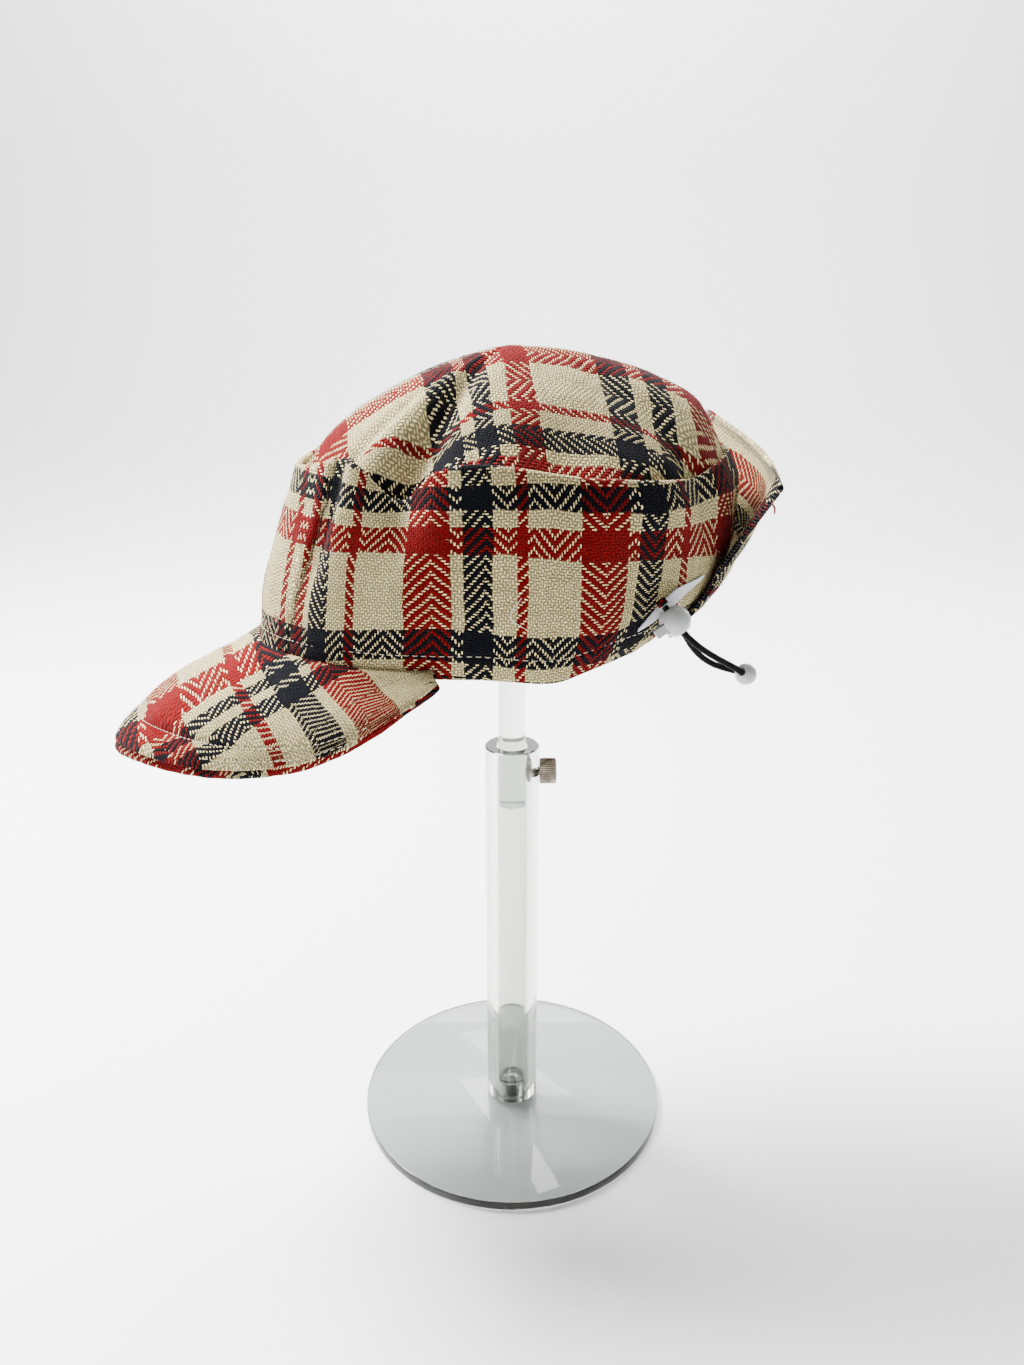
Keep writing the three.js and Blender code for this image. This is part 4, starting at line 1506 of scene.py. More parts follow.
@dataclass
class Peak:
    """The peak: an upper cloth that rolls over the edge, a lining below and its stitching."""

    form: CapForm
    wool: Material
    thread: Material
    columns: int = 400
    rows: int = 84
    thickness: float = 1.9
    lining: float = 1.3
    seat: float = 0.3
    upper_inset: float = 2.7
    roll: float = 3.4
    roll_rise: float = 0.7
    lap_rows: int = 5
    lap_share: float = 0.04
    lap_gap: float = 0.25
    taper: float = 26.0
    # height, wavelength, seed
    slow_wave: tuple = (0.5, 30.0, 41)
    fine_wave: tuple = (0.12, 11.0, 42)
    # share of the way out, spread, height
    shaping: tuple = ((0.92, 0.07, 1.3), (0.8, 0.045, -1.5))
    quilting: tuple[float, float] = (0.9, 0.8)
    quilt_spread: float = 0.012
    quilt_depth: float = 0.35
    stitches: int = 120
    stitched_to: float = 0.86
    stitch_gap: float = 0.15
    stitch_depth: float = 0.15
    stitch_lift: float = 0.35
    stitch_radius: float = 0.17
    edge_width: float = 6.0
    edge_yarn: float = 51.0
    pale_yarn: float = 6.0
    pale_shift: float = 16.0
    pale_spread: float = 8.0
    # share of the way from the tip to an end, yarn
    edge_yarns: tuple = (
        (0.0, -80), (0.59, 0), (0.66, 12), (0.84, 40), (0.925, 50), (0.93, 56), (1.0, 63),
    )
    joint_yarn: float = 22.0
    run_pitch: float = 0.936
    # place across, the x of the yarn above
    joint_line: tuple = (
        (-63.0, -100.4), (-50.0, -110.0), (-32.0, -117.5), (20.0, -125.7), (40.0, -127.0),
    )
    slow_from: float = -33.0
    slow_to: float = -6.0
    slow_ease: float = 3.0
    slow_yarn: float = 50.0
    slow_pitch: float = 2.6
    last_yarn: float = 108.0
    last_repeat: float = 24.0

    def face(self, inset: float) -> tuple[Array, Array, Array]:
        """The peak's upper face, creased behind its tip, with each point's side and inset.

        It runs from the wall to a distance short of the edge, given in millimetres.
        """
        side = np.linspace(-1.0, 1.0, self.columns)
        ends = self.form.peak_point(side, 1.0) - self.form.peak_point(side, 0.0)
        width = np.linalg.norm(ends, axis=-1)
        s, o = np.meshgrid(side, np.linspace(0.0, 1.0, self.rows))
        o = o * (1 - inset / width)
        point = self.form.peak_point(s, o)
        wall, _, _, away = self.form.wall_frame(self.form.peak_joint * side, self.lap_share)
        lap = np.linspace(1.0, 0.0, self.lap_rows, endpoint=False)[:, None, None]
        point = np.concatenate([point[0] + (wall + away * self.lap_gap - point[0]) * lap, point])
        s = np.concatenate([s[: self.lap_rows], s])
        o = np.concatenate([np.zeros((self.lap_rows, self.columns)), o])
        near = smooth_step(-0.2, 0.1, s) * smooth_step(0.62, 0.35, s)
        push = worn(point, self.slow_wave, self.fine_wave, smooth_step(0.0, 0.1, o))
        push += sum(height * bell(o - at, spread) for at, spread, height in self.shaping) * near
        push -= self.quilt_depth * sum(bell(o - row, self.quilt_spread) for row in self.quilting)
        return point + self.upward(point) * push[..., None], s, (1 - o) * width

    def upward(self, point: Array) -> Array:
        """The face's normals, up from the peak."""
        return facing(surface_normals(point), UP)

    def yarns(self, point: Array) -> tuple[Array, Array]:
        """The plaid's yarns: U forward from the joint, V across by distance.

        Across, the yarns lie wider apart between two places, where the cloth is eased, and
        beyond the last yarn counted the pale stripe is repeated.
        """
        x, y = point[..., 0], point[..., 1]
        u = self.joint_yarn + (read_line(self.joint_line, y) - x) / self.run_pitch
        step = np.linalg.norm(np.diff(point, axis=1), axis=-1)
        middle = (y[:, 1:] + y[:, :-1]) / 2
        ease, low, high = self.slow_ease, self.slow_from, self.slow_to
        slow = smooth_step(low - ease, low + ease, middle) * smooth_step(high + ease, high - ease, middle)
        density = 1 / (Plaid.pitch + (self.slow_pitch - Plaid.pitch) * slow)
        gone = np.concatenate([np.zeros((len(y), 1)), np.cumsum(step * density, axis=1)], axis=1)
        start = np.array([np.interp(-self.slow_from, -line, way) for line, way in zip(y, gone)])
        v = self.slow_yarn + gone - start[:, None]
        return u, held_stripe(v, self.last_yarn, self.last_repeat)

    def nap(self) -> Nap:
        """The upper cloth's outer face, its normals and its yarn numbers."""
        face = self.face(self.upper_inset)[0]
        return face, self.upward(face), np.stack(self.yarns(face), axis=-1)

    def panel(self, node: str, nap: Nap, thickness: Array) -> Item:
        """One of the peak's two cloths, thinned to nothing at the peak's two ends."""
        face, normal, yarns = nap
        shell = Shell()
        loop = shell.loop(face, normal, thickness * end_taper(self.sides(), self.taper))
        return dress_node(node, self.form.place(loop), self.wool, shell.through(yarns))

    def sides(self) -> Array:
        """Each column's place across the peak, for every row."""
        side = np.linspace(-1.0, 1.0, self.columns)
        return np.broadcast_to(side, (self.rows + self.lap_rows, self.columns))

    def lining_nap(self) -> tuple[Nap, Array]:
        """The lining's face, normals and yarns, and its thickness, most at its rolled edge."""
        face, side, inset = self.face(0.0)
        normal = self.upward(face)
        edge = smooth_step(self.edge_width, self.upper_inset, inset)
        drop = self.thickness + self.seat
        face = face - normal * (drop - self.roll_rise * edge)[..., None]
        v = read_table(self.edge_yarns, np.abs(side))[..., 0]
        inward = way_along(face[::-1], 0)[::-1] / Plaid.pitch
        u = self.edge_yarn + inward - self.pale_shift * bell(v - self.pale_yarn, self.pale_spread)
        return (face, normal, np.stack([u, v], axis=-1)), self.lining + (self.roll - self.lining) * edge

    def build(self) -> None:
        """Makes the upper cloth, and the lining whose rolled edge shows all along below it."""
        self.panel("peak_upper", self.nap(), np.asarray(self.thickness))
        self.panel("peak_under", *self.lining_nap())

    def stitching(self) -> Item:
        """Two rows of quilting stitches that follow the peak's edge."""
        starts, ends, lifts = [], [], []
        for out in self.quilting:
            side = np.linspace(-self.stitched_to, self.stitched_to, self.stitches + 1)
            line, near = (
                self.form.peak_point(side, np.full(side.shape, at)) for at in (out, out - 0.02)
            )
            normal = facing(unit(np.cross(np.gradient(line, axis=0), near - line)), UP)[:-1]
            step = np.diff(line, axis=0) * self.stitch_gap
            starts.append(line[:-1] + step - normal * self.stitch_depth)
            ends.append(line[1:] - step - normal * self.stitch_depth)
            lifts.append(normal * self.stitch_lift)
        item = stitches_object(
            "peak_stitches",
            self.form.place(np.concatenate(starts)),
            self.form.place(np.concatenate(ends)),
            self.form.place(np.concatenate(lifts)),
            self.stitch_radius,
            self.thread,
        )
        return finish_piece(item)


@dataclass
class NeckFlap:
    """The neck flap, turned up behind the crown, its edges oversewn."""

    form: CapForm
    wool: Material
    thread: Material
    columns: int = 240
    rows: int = 96
    thickness: float = 2.2
    outer_yarn: float = 101.0
    near_yarn: float = 3.0
    pale_last: float = 39.0
    pale_repeat: float = 24.0
    pale_times: float = 2.0
    taper: float = 40.0
    hem_out: float = 0.985
    # height, wavelength, seed
    slow_wave: tuple = (0.6, 30.0, 61)
    fine_wave: tuple = (0.12, 11.0, 62)
    lift: float = 0.3
    edge_stitches: int = 96
    end_stitches: int = 46
    # how far in a stitch goes, as shares of the way out and of the way across
    bite_out: float = 0.04
    bite_side: float = 0.045
    stitch_proud: float = 0.5
    stitch_depth: float = 0.3
    stitch_reach: float = 4.2
    stitch_radius: float = 0.2

    def oversewing(self) -> Item:
        """Whip stitches over the flap's outer edge and its near end."""
        along = np.linspace(-0.99, 0.99, self.edge_stitches)
        up = np.linspace(0.12, 0.98, self.end_stitches)
        side = np.concatenate([along, np.full(up.shape, -self.hem_out)])
        out = np.concatenate([np.full(along.shape, self.hem_out), up])
        edge = self.form.flap_point(side, out)
        at_edge = np.arange(len(side)) < self.edge_stitches
        inner = self.form.flap_point(side + self.bite_side * ~at_edge, out - self.bite_out * at_edge)
        outward = unit(edge - inner)
        radial = edge * FLAT
        normal = unit(radial - outward * np.sum(radial * outward, axis=-1, keepdims=True))
        item = stitches_object(
            "flap_oversewing",
            self.form.place(inner + normal * self.stitch_proud),
            self.form.place(inner - normal * (self.thickness + self.stitch_depth)),
            self.form.place(outward * self.stitch_reach),
            self.stitch_radius,
            self.thread,
        )
        return finish_piece(item)

    def nap(self) -> Nap:
        """The outer face, its normals and its yarn numbers."""
        side = np.linspace(-1.0, 1.0, self.columns)
        s, o = np.meshgrid(side, np.linspace(0.0, self.hem_out, self.rows))
        face = self.form.flap_point(s, o)
        normal = facing(surface_normals(face), (1.0, 0.0, 0.0))
        fade = smooth_step(0.0, 0.2, o)
        push = worn(face, self.slow_wave, self.fine_wave, fade) + self.lift * fade
        face = face + normal * push[..., None]
        from_edge = way_along(face[::-1], 0)[::-1]
        u = self.outer_yarn + from_edge / Plaid.pitch
        v = self.near_yarn + way_along(face, 1) / Plaid.pitch
        v = held_stripe(v, self.pale_last, self.pale_repeat, self.pale_times)
        return face, normal, np.stack([u, v], axis=-1)

    def build(self) -> Item:
        """Makes the flap."""
        face, normal, yarns = self.nap()
        shell = Shell()
        side = np.broadcast_to(np.linspace(-1.0, 1.0, self.columns), face.shape[:2])
        loop = shell.loop(face, normal, self.thickness * end_taper(side, self.taper))
        return dress_node("neck_flap", self.form.place(loop), self.wool, shell.through(yarns))


@dataclass
class SizeLabel:
    """The plain woven label, sewn on at its ends and bulging between them."""

    form: CapForm
    ribbon: Material
    columns: int = 14
    rows: int = 60
    map_width: float = 6.0

    def build(self) -> Item:
        """Makes the label."""
        form = self.form
        along = np.linspace(0.0, 1.0, self.rows)
        across = np.linspace(0.0, 1.0, self.columns)
        al, ac = np.meshgrid(along, across, indexing="ij")
        row = read_table(form.label_path, al)
        point, _, up, out = form.wall_frame(row[..., 0], row[..., 1])
        stand = form.label_thickness + form.label_bulge * row[..., 3] * (0.5 + 0.5 * ac)
        rise = form.label_width * row[..., 2] * (0.5 - ac)
        face = point + out * stand[..., None] + up * rise[..., None]
        loop = Shell(rolls=3).loop(face, out, np.full(al.shape, form.label_thickness))
        size = as_points(ac[:1] * self.map_width, way_along(loop, 0))
        size = np.concatenate([size, size[:1] + [0.0, 1.0]])
        item = grid_object("label_cloth_strip", form.place(loop), self.ribbon, size, close_rows=True)
        return finish_piece(item, ["size_label"])


# The drawcord


@dataclass
class Drawcord:
    """The elastic cord with its tab, spring stopper and end bead.

    The route is one loop: out of the tab, through the stopper, round in the bead and
    back. The stopper's own axes are its plunger's way out, the way between its two
    strands and the way down the cord.
    """

    form: CapForm
    wool: Material
    elastic: Material
    plastic: Material
    diameter: float = 2.5
    strand_spacing: float = 2.7
    slide_gap: float = 0.3
    seat: float = 0.3
    toggle_diameter: float = 12.2
    bead_diameter: float = 8.6
    plunger_across: float = 3.6
    plunger_proud: float = 3.0
    plunger_travel: float = 2.0
    prong: float = 0.9
    tab_length: float = 3.0
    tab_width: float = 7.0
    tab_thickness: float = 4.2
    steps: int = 420
    sides: int = 16
    braid_around: float = 8.0
    braid_along: float = 2.4
    stopper_points: tuple[int, int] = (2, 19)
    bead_point: int = 10
    # from the place on the wall that the tab is sewn to
    route: tuple = (
        (3.03, -5.98, 1.9), (4.93, -6.68, -0.6), (7.23, -7.38, -3.6), (9.93, -8.28, -7.1),
        (13.03, -8.68, -10.3), (17.14, -8.28, -13.8), (22.49, -6.88, -17.6), (27.85, -5.48, -20.9),
        (32.31, -4.68, -23.5), (35.34, -3.68, -25.6), (37.13, -1.28, -27.0), (36.42, 1.32, -27.5),
        (33.92, 2.32, -26.9), (29.63, 1.92, -25.6), (23.92, 0.32, -23.1), (18.56, -1.68, -19.1),
        (14.63, -3.48, -14.5), (11.83, -4.78, -10.2), (9.63, -5.48, -7.2), (7.43, -4.78, -4.2),
        (5.33, -4.08, -1.4), (3.43, -3.38, 1.1),
    )
    tab_angle: float = 120.0
    tab_height: float = 0.28
    ball_softness: float = 0.25
    plunger_softness: float = 0.5
    bead_softness: float = 0.2
    # the tab: points round it, how round its corners are, its rings and its rings' sizes
    tab_sides: int = 48
    tab_power: float = 0.45
    tab_levels: int = 9
    tab_end: float = 0.02
    tab_waist: float = 0.7
    tab_yarns: tuple = (36.0, 58.0)
    points: Array = field(init=False)
    line: Array = field(init=False)
    centre: Array = field(init=False)
    axes: Array = field(init=False)

    def __post_init__(self) -> None:
        """Works out the cord's line and the stopper's own axes."""
        sewn_at = self.form.place(self.form.wall_point(self.tab_angle, self.tab_height))
        self.points = sewn_at + np.array(self.route)
        self.line = catmull_rom(self.points, self.steps)
        near, far = (self.points[n] for n in self.stopper_points)
        self.centre = (near + far) / 2
        between = unit(far - near)
        first = self.stopper_points[0]
        down = self.points[first + 1] - self.points[first - 1]
        down = unit(down - between * (down @ between))
        self.axes = np.stack([np.cross(between, down), between, down])

    def tube(self, name: str, radius: float, material: Material) -> Item:
        """A closed tube along the cord's line."""
        points = closed_tube(self.line, np.full(len(self.line), radius), self.sides)
        around = np.linspace(0.0, self.braid_around, self.sides + 1)[None]
        cloth = as_points(around, way_along(self.line[:, None], 0) / self.braid_along)
        cloth = np.concatenate([cloth[:1], cloth, cloth[-1:]])
        return grid_object(name, points, material, cloth, close_columns=True, merge=True)

    def cord(self) -> Item:
        """The elastic cord itself, standing for the cord's solid."""
        item = self.tube("drawcord_elastic", self.diameter / 2, self.elastic)
        finish_piece(item, ["elastic_cord"])
        return item

    def ball(self, name: str, diameter: float, centre: Array, axes: Array) -> Item:
        """A smooth ball whose poles lie on the cord's way."""
        lat = np.linspace(0, np.pi, 49)
        profile = np.stack([np.sin(lat), -np.cos(lat)], axis=-1) * diameter / 2
        item = lathe(name, profile, self.plastic, sides=96)
        move_points(item, lambda at: at.astype(float) @ axes + centre * MM)
        return item

    def block(self, name: str, start: float, end: float, wide: float, deep: float) -> Item:
        """A block on the plunger's axis, from a start to an end along it.

        Args:
            name: Its name.
            start: Where it starts along the plunger's way out.
            end: Where it ends.
            wide: Its whole size from strand to strand.
            deep: Its whole size along the cord.

        Returns:
            The new object.
        """
        corners = np.array([[i, j, k] for i in (0, 1) for j in (0, 1) for k in (0, 1)])
        low, high = np.array([start, -wide / 2, -deep / 2]), np.array([end, wide / 2, deep / 2])
        points = self.centre + (low + (high - low) * corners) @ self.axes
        faces = [[0, 1, 3, 2], [4, 6, 7, 5], [0, 4, 5, 1], [2, 3, 7, 6], [0, 2, 6, 4], [1, 5, 7, 3]]
        return make_object(name, points, np.array(faces), self.plastic)

    def stopper(self) -> list[Item]:
        """The stopper's ball, bored and slotted, and its plunger."""
        slot_width = self.strand_spacing + self.diameter + 2 * self.slide_gap
        slot = self.diameter / 2 + self.slide_gap
        plunger_width = slot_width + 2 * self.prong
        reach = self.toggle_diameter
        ball = self.ball("stopper_ball", reach, self.centre, self.axes)
        bore_floor = -(slot + self.plunger_travel + self.slide_gap)
        bore_width, bore_depth = (size + 2 * self.slide_gap for size in (plunger_width, self.plunger_across))
        bore = self.block("bore", bore_floor, reach, bore_width, bore_depth)
        cut_away(ball, [bore, self.block("slot", -slot, slot, slot_width, 2 * reach)])
        self.soften(ball, self.ball_softness)
        finish_piece(ball, ["cord_toggle"])
        outer_end = self.toggle_diameter / 2 + self.plunger_proud
        plunger = self.block("stopper_plunger", -slot, outer_end, plunger_width, self.plunger_across)
        travel_end = slot + self.plunger_travel
        cut_away(plunger, [self.block("slot", -outer_end, travel_end, slot_width, 4 * self.plunger_across)])
        self.soften(plunger, self.plunger_softness)
        finish_piece(plunger, ["toggle_plunger"], PLUNGER_BODY)
        return [ball, plunger]

    def soften(self, item: Item, radius: float) -> None:
        """Rounds a moulded piece's sharp edges."""
        bevel = item.modifiers.new("moulded_edge", "BEVEL")
        bevel.width = radius * MM
        bevel.segments = 3
        bevel.limit_method = "ANGLE"
        bevel.angle_limit = math.radians(40)
        bevel.harden_normals = True
        item.data.polygons.foreach_set("use_smooth", np.ones(len(item.data.polygons), bool))

    def bead(self) -> Item:
        """The end bead, bored for the loop that turns inside it."""
        centre = self.points[self.bead_point]
        way = unit(centre - self.points[self.bead_point - 3])
        side = unit(np.cross(way, UP))
        axes = np.stack([side, np.cross(way, side), way])
        item = self.ball("end_bead", self.bead_diameter, centre, axes)
        cut_away(item, [self.tube("cutter", self.diameter / 2 + self.slide_gap, self.plastic)])
        self.soften(item, self.bead_softness)
        return finish_piece(item, ["cord_bead"])

    def tab(self) -> Item:
        """The cloth tab that both strands come out of: a folded end, rounded all round."""
        top = (self.points[0] + self.points[-1]) / 2
        cos, sin = (np.sign(part) * np.abs(part) ** self.tab_power for part in ring_of(self.tab_sides))
        levels = np.linspace(0.0, 1.0, self.tab_levels)[:, None]
        size = self.tab_waist + (1 - self.tab_waist) * end_taper(2 * levels - 1, 6)
        size[[0, -1]] = self.tab_end
        height = levels * self.tab_length - self.seat - self.tab_length
        local = as_points(size * cos * self.tab_thickness / 2, size * sin * self.tab_width / 2, height)
        points = top + local @ self.axes
        yarns = np.linspace(*self.tab_yarns, self.tab_sides + 1)
        cloth = as_points(yarns, levels * self.tab_length / Plaid.pitch)
        return dress_node("cord_tab", points, self.wool, cloth, close_rows=False, close_columns=True)

    def build(self) -> None:
        """Makes the whole drawcord."""
        ball, plunger = self.stopper()
        bead = self.bead()
        self.tab()
        self.cord()


# Wool hairs


@dataclass(frozen=True)
class WoolFuzz:
    """Fine hairs that stand off the cloth, each with the cloth's colour at its root: the yarn's dye, with
    the painted shade between yarns where the root lies between floats.

    A hair is a three-sided spindle: its root lies just under the face, two rings lean
    over along the cloth, and its tip is a point.
    """

    form: CapForm
    wool: Material
    shortest: float = 0.7
    longest: float = 2.3
    radius: float = 0.05
    buried: float = 0.25

    def grow(self, name: str, count: int, seed: int, nap: Nap) -> Item:
        """Grows hairs from a face, as many to each piece of its area.

        Args:
            name: The piece's name.
            count: How many hairs there are.
            seed: Picks their roots, lengths and ways.
            nap: The face's points, its normals and its yarn numbers.

        Returns:
            One object that holds every hair.
        """
        face, normal, yarns = nap
        along = np.gradient(face, axis=1)
        area = np.linalg.norm(np.cross(along, np.gradient(face, axis=0)), axis=-1)
        area[:, [0, -1]] = 0.0
        chance = np.random.default_rng(seed)
        root = chance.choice(area.size, count, p=(area / area.sum()).ravel())
        place = face.reshape(-1, 3)[root]
        out = normal.reshape(-1, 3)[root]
        flat = unit(along.reshape(-1, 3)[root])
        up = np.cross(out, flat)
        turn = chance.uniform(0, 2 * np.pi, (count, 1))
        lean = flat * np.cos(turn) + up * np.sin(turn)
        length = chance.uniform(self.shortest, self.longest, (count, 1))
        rise = length * chance.uniform(0.1, 0.6, (count, 1))
        side = np.cross(lean, out)
        cos, sin = ring_of(3)
        ring = (side[:, None] * cos[:, None] + out[:, None] * sin[:, None]) * self.radius
        points = np.concatenate(
            [
                (place - out * self.buried)[:, None],
                (place + out * rise * 0.6 + lean * length * 0.3)[:, None] + ring,
                (place + out * rise + lean * length * 0.7)[:, None] + ring * 0.8,
                (place + out * rise * 0.8 + lean * length)[:, None],
            ],
            axis=1,
        )
        one = []
        for k in range(3):
            a, b = 1 + k, 1 + (k + 1) % 3
            one += [(0, b, a), (a, b, b + 3), (a, b + 3, a + 3), (a + 3, b + 3, 7)]
        one = np.array(one)
        faces = (one[None] + np.arange(count)[:, None, None] * points.shape[1]).reshape(-1, 3)
        cloth = yarns[:, : face.shape[1]].reshape(-1, 2)[root]
        corner_cloth = np.repeat(cloth, one.size, axis=0)
        item = make_object(name, self.form.place(points), faces, self.wool, corner_cloth)
        return finish_piece(item)


# Loose threads


@dataclass
class LooseThreads:
    """Ends of yarn and thread that have come out of the cloth and lie on it."""

    form: CapForm
    sides: int = 6
    steps: int = 40
    tip: float = 0.35
    pale: Screen = (228, 222, 204)
    red: Screen = (120, 0, 4)
    # angle round the wall, share of its height, distance off it in millimetres
    pale_on_wall: tuple = (
        (85.5, 0.43, -0.3), (84.2, 0.39, 0.5), (83.0, 0.35, 0.8), (83.2, 0.31, 0.9), (84.8, 0.285, 0.3),
        (86.0, 0.27, -0.3),
    )
    red_at_brow: tuple = (
        (17.0, 0.2, -0.3), (20.0, 0.23, 0.4), (23.5, 0.18, 0.6), (21.0, 0.11, 0.5), (18.0, 0.1, 0.4),
        (17.5, 0.15, 0.5), (20.0, 0.19, 0.6), (24.5, 0.25, -0.3),
    )
    red_by_tab: tuple = (
        (124.7, 0.3, -0.3), (124.0, 0.24, 1.0), (125.5, 0.19, 1.4), (124.0, 0.15, 1.2),
        (126.0, 0.1, 1.8),
    )
    # side and out on the flap, distance off its outer face in millimetres
    pale_on_flap: tuple = (
        (-0.55, 0.96, -0.3), (-0.45, 0.9, 0.5), (-0.3, 0.84, 0.5), (-0.16, 0.77, -0.3),
    )
    red_on_flap: tuple = (
        (-0.97, 0.9, -0.5), (-1.0, 0.88, 0.8), (-1.0, 0.86, 2.4), (-1.0, 0.82, 4.0),
    )

    def on_wall(self, rows: tuple) -> Array:
        """Places on the wall, lifted off it."""
        table = np.array(rows, float)
        point, _, _, out = self.form.wall_frame(table[:, 0], table[:, 1])
        return point + out * table[:, 2:]

    def on_flap(self, rows: tuple) -> Array:
        """Places on the flap, lifted off its outer face."""
        table = np.array(rows, float)
        point = self.form.flap_point(table[:, 0], table[:, 1])
        return point + unit(point * FLAT) * table[:, 2:]

    def strands(
        self, name: str, lines: Sequence[Array], radius: float, material: Material
    ) -> None:
        """Thin tubes along smooth lines, closed at both ends, as one piece.

        Args:
            name: The piece's name.
            lines: The points each strand passes through.
            radius: The strand's radius in its middle; it thins to a third at its ends.
            material: The finish.
        """
        corners, _ = grid_faces(self.steps + 2, self.sides)
        share = np.linspace(0, 1, self.steps)
        size = radius * (self.tip + (1 - self.tip) * np.sin(np.pi * share) ** 0.3)
        tubes = [
            closed_tube(catmull_rom(self.form.place(line), self.steps), size, self.sides)
            for line in lines
        ]
        faces = [corners + n * (self.steps + 2) * self.sides for n in range(len(lines))]
        item = make_object(name, np.concatenate(tubes), np.concatenate(faces), material, merge=True)
        finish_piece(item)

    def build(self) -> None:
        """Makes the pale and the red strands."""
        pale = Thread("pale_yarn_end", self.pale).material()
        red = Thread("red_yarn_end", self.red).material()
        pales = [self.on_wall(self.pale_on_wall), self.on_flap(self.pale_on_flap)]
        reds = [self.on_wall(self.red_at_brow), self.on_wall(self.red_by_tab)]
        self.strands("loose_pale_yarn", pales, 0.2, pale)
        self.strands("loose_red_yarn", reds, 0.26, red)
        self.strands("loose_flap_yarn", [self.on_flap(self.red_on_flap)], 0.5, red)


# The stand


@dataclass
class DisplayStand:
    """The clear stand: a disc, a tube on it and a rod with a pad, clamped by a screw."""

    acrylic: Material
    disc_acrylic: Material
    steel: Material
    cap_top: float
    top_thickness: float
    seat: float = 0.3
    base_diameter: float = 150.0
    base_thickness: float = 4.5
    tube_diameter: float = 25.0
    tube_bore: float = 14.0
    tube_height: float = 193.0
    rod_diameter: float = 12.6
    rod_overlap: float = 29.0
    plug_height: float = 10.0
    screw_diameter: float = 5.0
    pad_diameter: float = 24.0
    pad_thickness: float = 6.26
    pad_crown: float = 3.86
    clamp_drop: float = 13.0
    clamp_shank: float = 4.0
    clamp_head: float = 12.0
    clamp_head_length: float = 8.0
    polish: float = 0.5
    corner_points: int = 5
    hole_bevel: float = 0.3
    # the screw's threads: their pitch, their depth, and where they start and stop
    thread_pitch: float = 0.8
    thread_depth: float = 0.3
    thread_start: float = 0.4
    thread_spare: float = 1.0
    stud_height: float = 0.7
    # how high the plug's blind end rises over the stud: at its middle, between, at its wall
    plug_roof: tuple = (0.8, 0.4, -0.5)
    pad_eye: float = 0.2
    clamp_stand_off: float = 0.2
    clamp_round: float = 0.8
    clamp_dish: float = 0.4
    knurls: int = 40
    knurl_depth: float = 0.05
    knurl_reach: float = 0.3
    tube_low: float = field(init=False)
    tube_top: float = field(init=False)
    stud_top: float = field(init=False)
    pad_low: float = field(init=False)

    def __post_init__(self) -> None:
        """Works out the levels that the stand's pieces share."""
        self.tube_low = self.base_thickness + self.seat
        self.tube_top = self.tube_low + self.tube_height
        self.stud_top = self.base_thickness + self.plug_height * self.stud_height
        self.pad_low = self.cap_top - self.top_thickness - 2 * self.seat - self.pad_thickness

    def base(self) -> None:
        """The disc with polished edges and the blind hole of its screw."""
        r, t, b = self.base_diameter / 2, self.base_thickness, self.polish
        hole = self.screw_diameter / 2 + self.seat
        foot = t / 3 - self.seat
        profile = [(0, 0), (r - b, 0)]
        profile += self.corner(r - b, b, b, -90, 0)
        profile += self.corner(r - b, t - b, b, 0, 90)
        profile += [(hole + self.hole_bevel, t), (hole, t - self.hole_bevel), (hole, foot), (0, foot)]
        self.piece("base_disc", profile, self.disc_acrylic, "stand_base", sides=256)

    def corner(
        self, r: float, z: float, radius: float, start: float, end: float
    ) -> list[tuple[float, float]]:
        """Points round part of a circle, the first and the last included."""
        turn = np.radians(np.linspace(start, end, self.corner_points))
        return [(r + radius * math.cos(a), z + radius * math.sin(a)) for a in turn]

    def piece(
        self,
        name: str,
        profile: Sequence[tuple[float, float]],
        material: Material,
        node: str,
        sides: int = 128,
        close: bool = False,
    ) -> Item:
        """A turned piece of the stand."""
        item = lathe(name, profile, material, sides, close)
        self.crisp(item)
        return finish_piece(item, [node])

    def crisp(self, item: Item, angle: float = 30.0) -> None:
        """Keeps edges sharper than the given angle sharp, and everything else smooth."""
        mesh = item.data
        work = bmesh.new()
        work.from_mesh(mesh)
        limit = math.radians(angle)
        for edge in work.edges:
            edge.smooth = len(edge.link_faces) == 2 and edge.calc_face_angle(0.0) < limit
        work.to_mesh(mesh)
        work.free()

    def tube(self) -> None:
        """The thick-walled tube with the clamp screw's hole."""
        bottom, top = self.tube_low, self.tube_top
        ro, ri, b = self.tube_diameter / 2, self.tube_bore / 2, self.polish
        profile = [(ri, bottom), (ro - b, bottom), (ro, bottom + b), (ro, top - b), (ro - b, top)]
        profile += [(ri + b, top), (ri, top - b)]
        item = lathe("tube_clear", profile, self.acrylic, close=True)
        hole, reach = self.clamp_shank / 2 + self.seat, self.tube_diameter
        cutter = lathe("cutter", [(0, 0), (hole, 0), (hole, reach), (0, reach)], self.acrylic, 48)
        self.aim(cutter, 0.0)
        cut_away(item, [cutter])
        self.crisp(item)
        finish_piece(item, ["stand_tube"])

    def aim(self, item: Item, start: float) -> None:
        """Lays a turned piece along +X at the clamp's height, from a distance out."""
        level = self.tube_top - self.clamp_drop
        move_points(
            item,
            lambda at: np.stack([at[:, 2] + start * MM, at[:, 1], level * MM - at[:, 0]], axis=-1),
        )

    def plug(self) -> None:
        """The clear plug in the tube's foot, bored for the screw."""
        bottom, top = self.tube_low, self.tube_low + self.plug_height
        inner = self.screw_diameter / 2 + self.seat
        outer = self.tube_bore / 2 - self.seat
        middle, between, wall = (self.stud_top + self.seat + rise for rise in self.plug_roof)
        b = self.polish
        profile = [(inner, bottom), (outer - b, bottom), (outer, bottom + b), (outer, top - b)]
        profile += [(outer - b, top), (0, top), (0, middle), (inner / 2, between), (inner, wall)]
        self.piece("tube_foot_plug", profile, self.acrylic, "tube_plug", close=True)

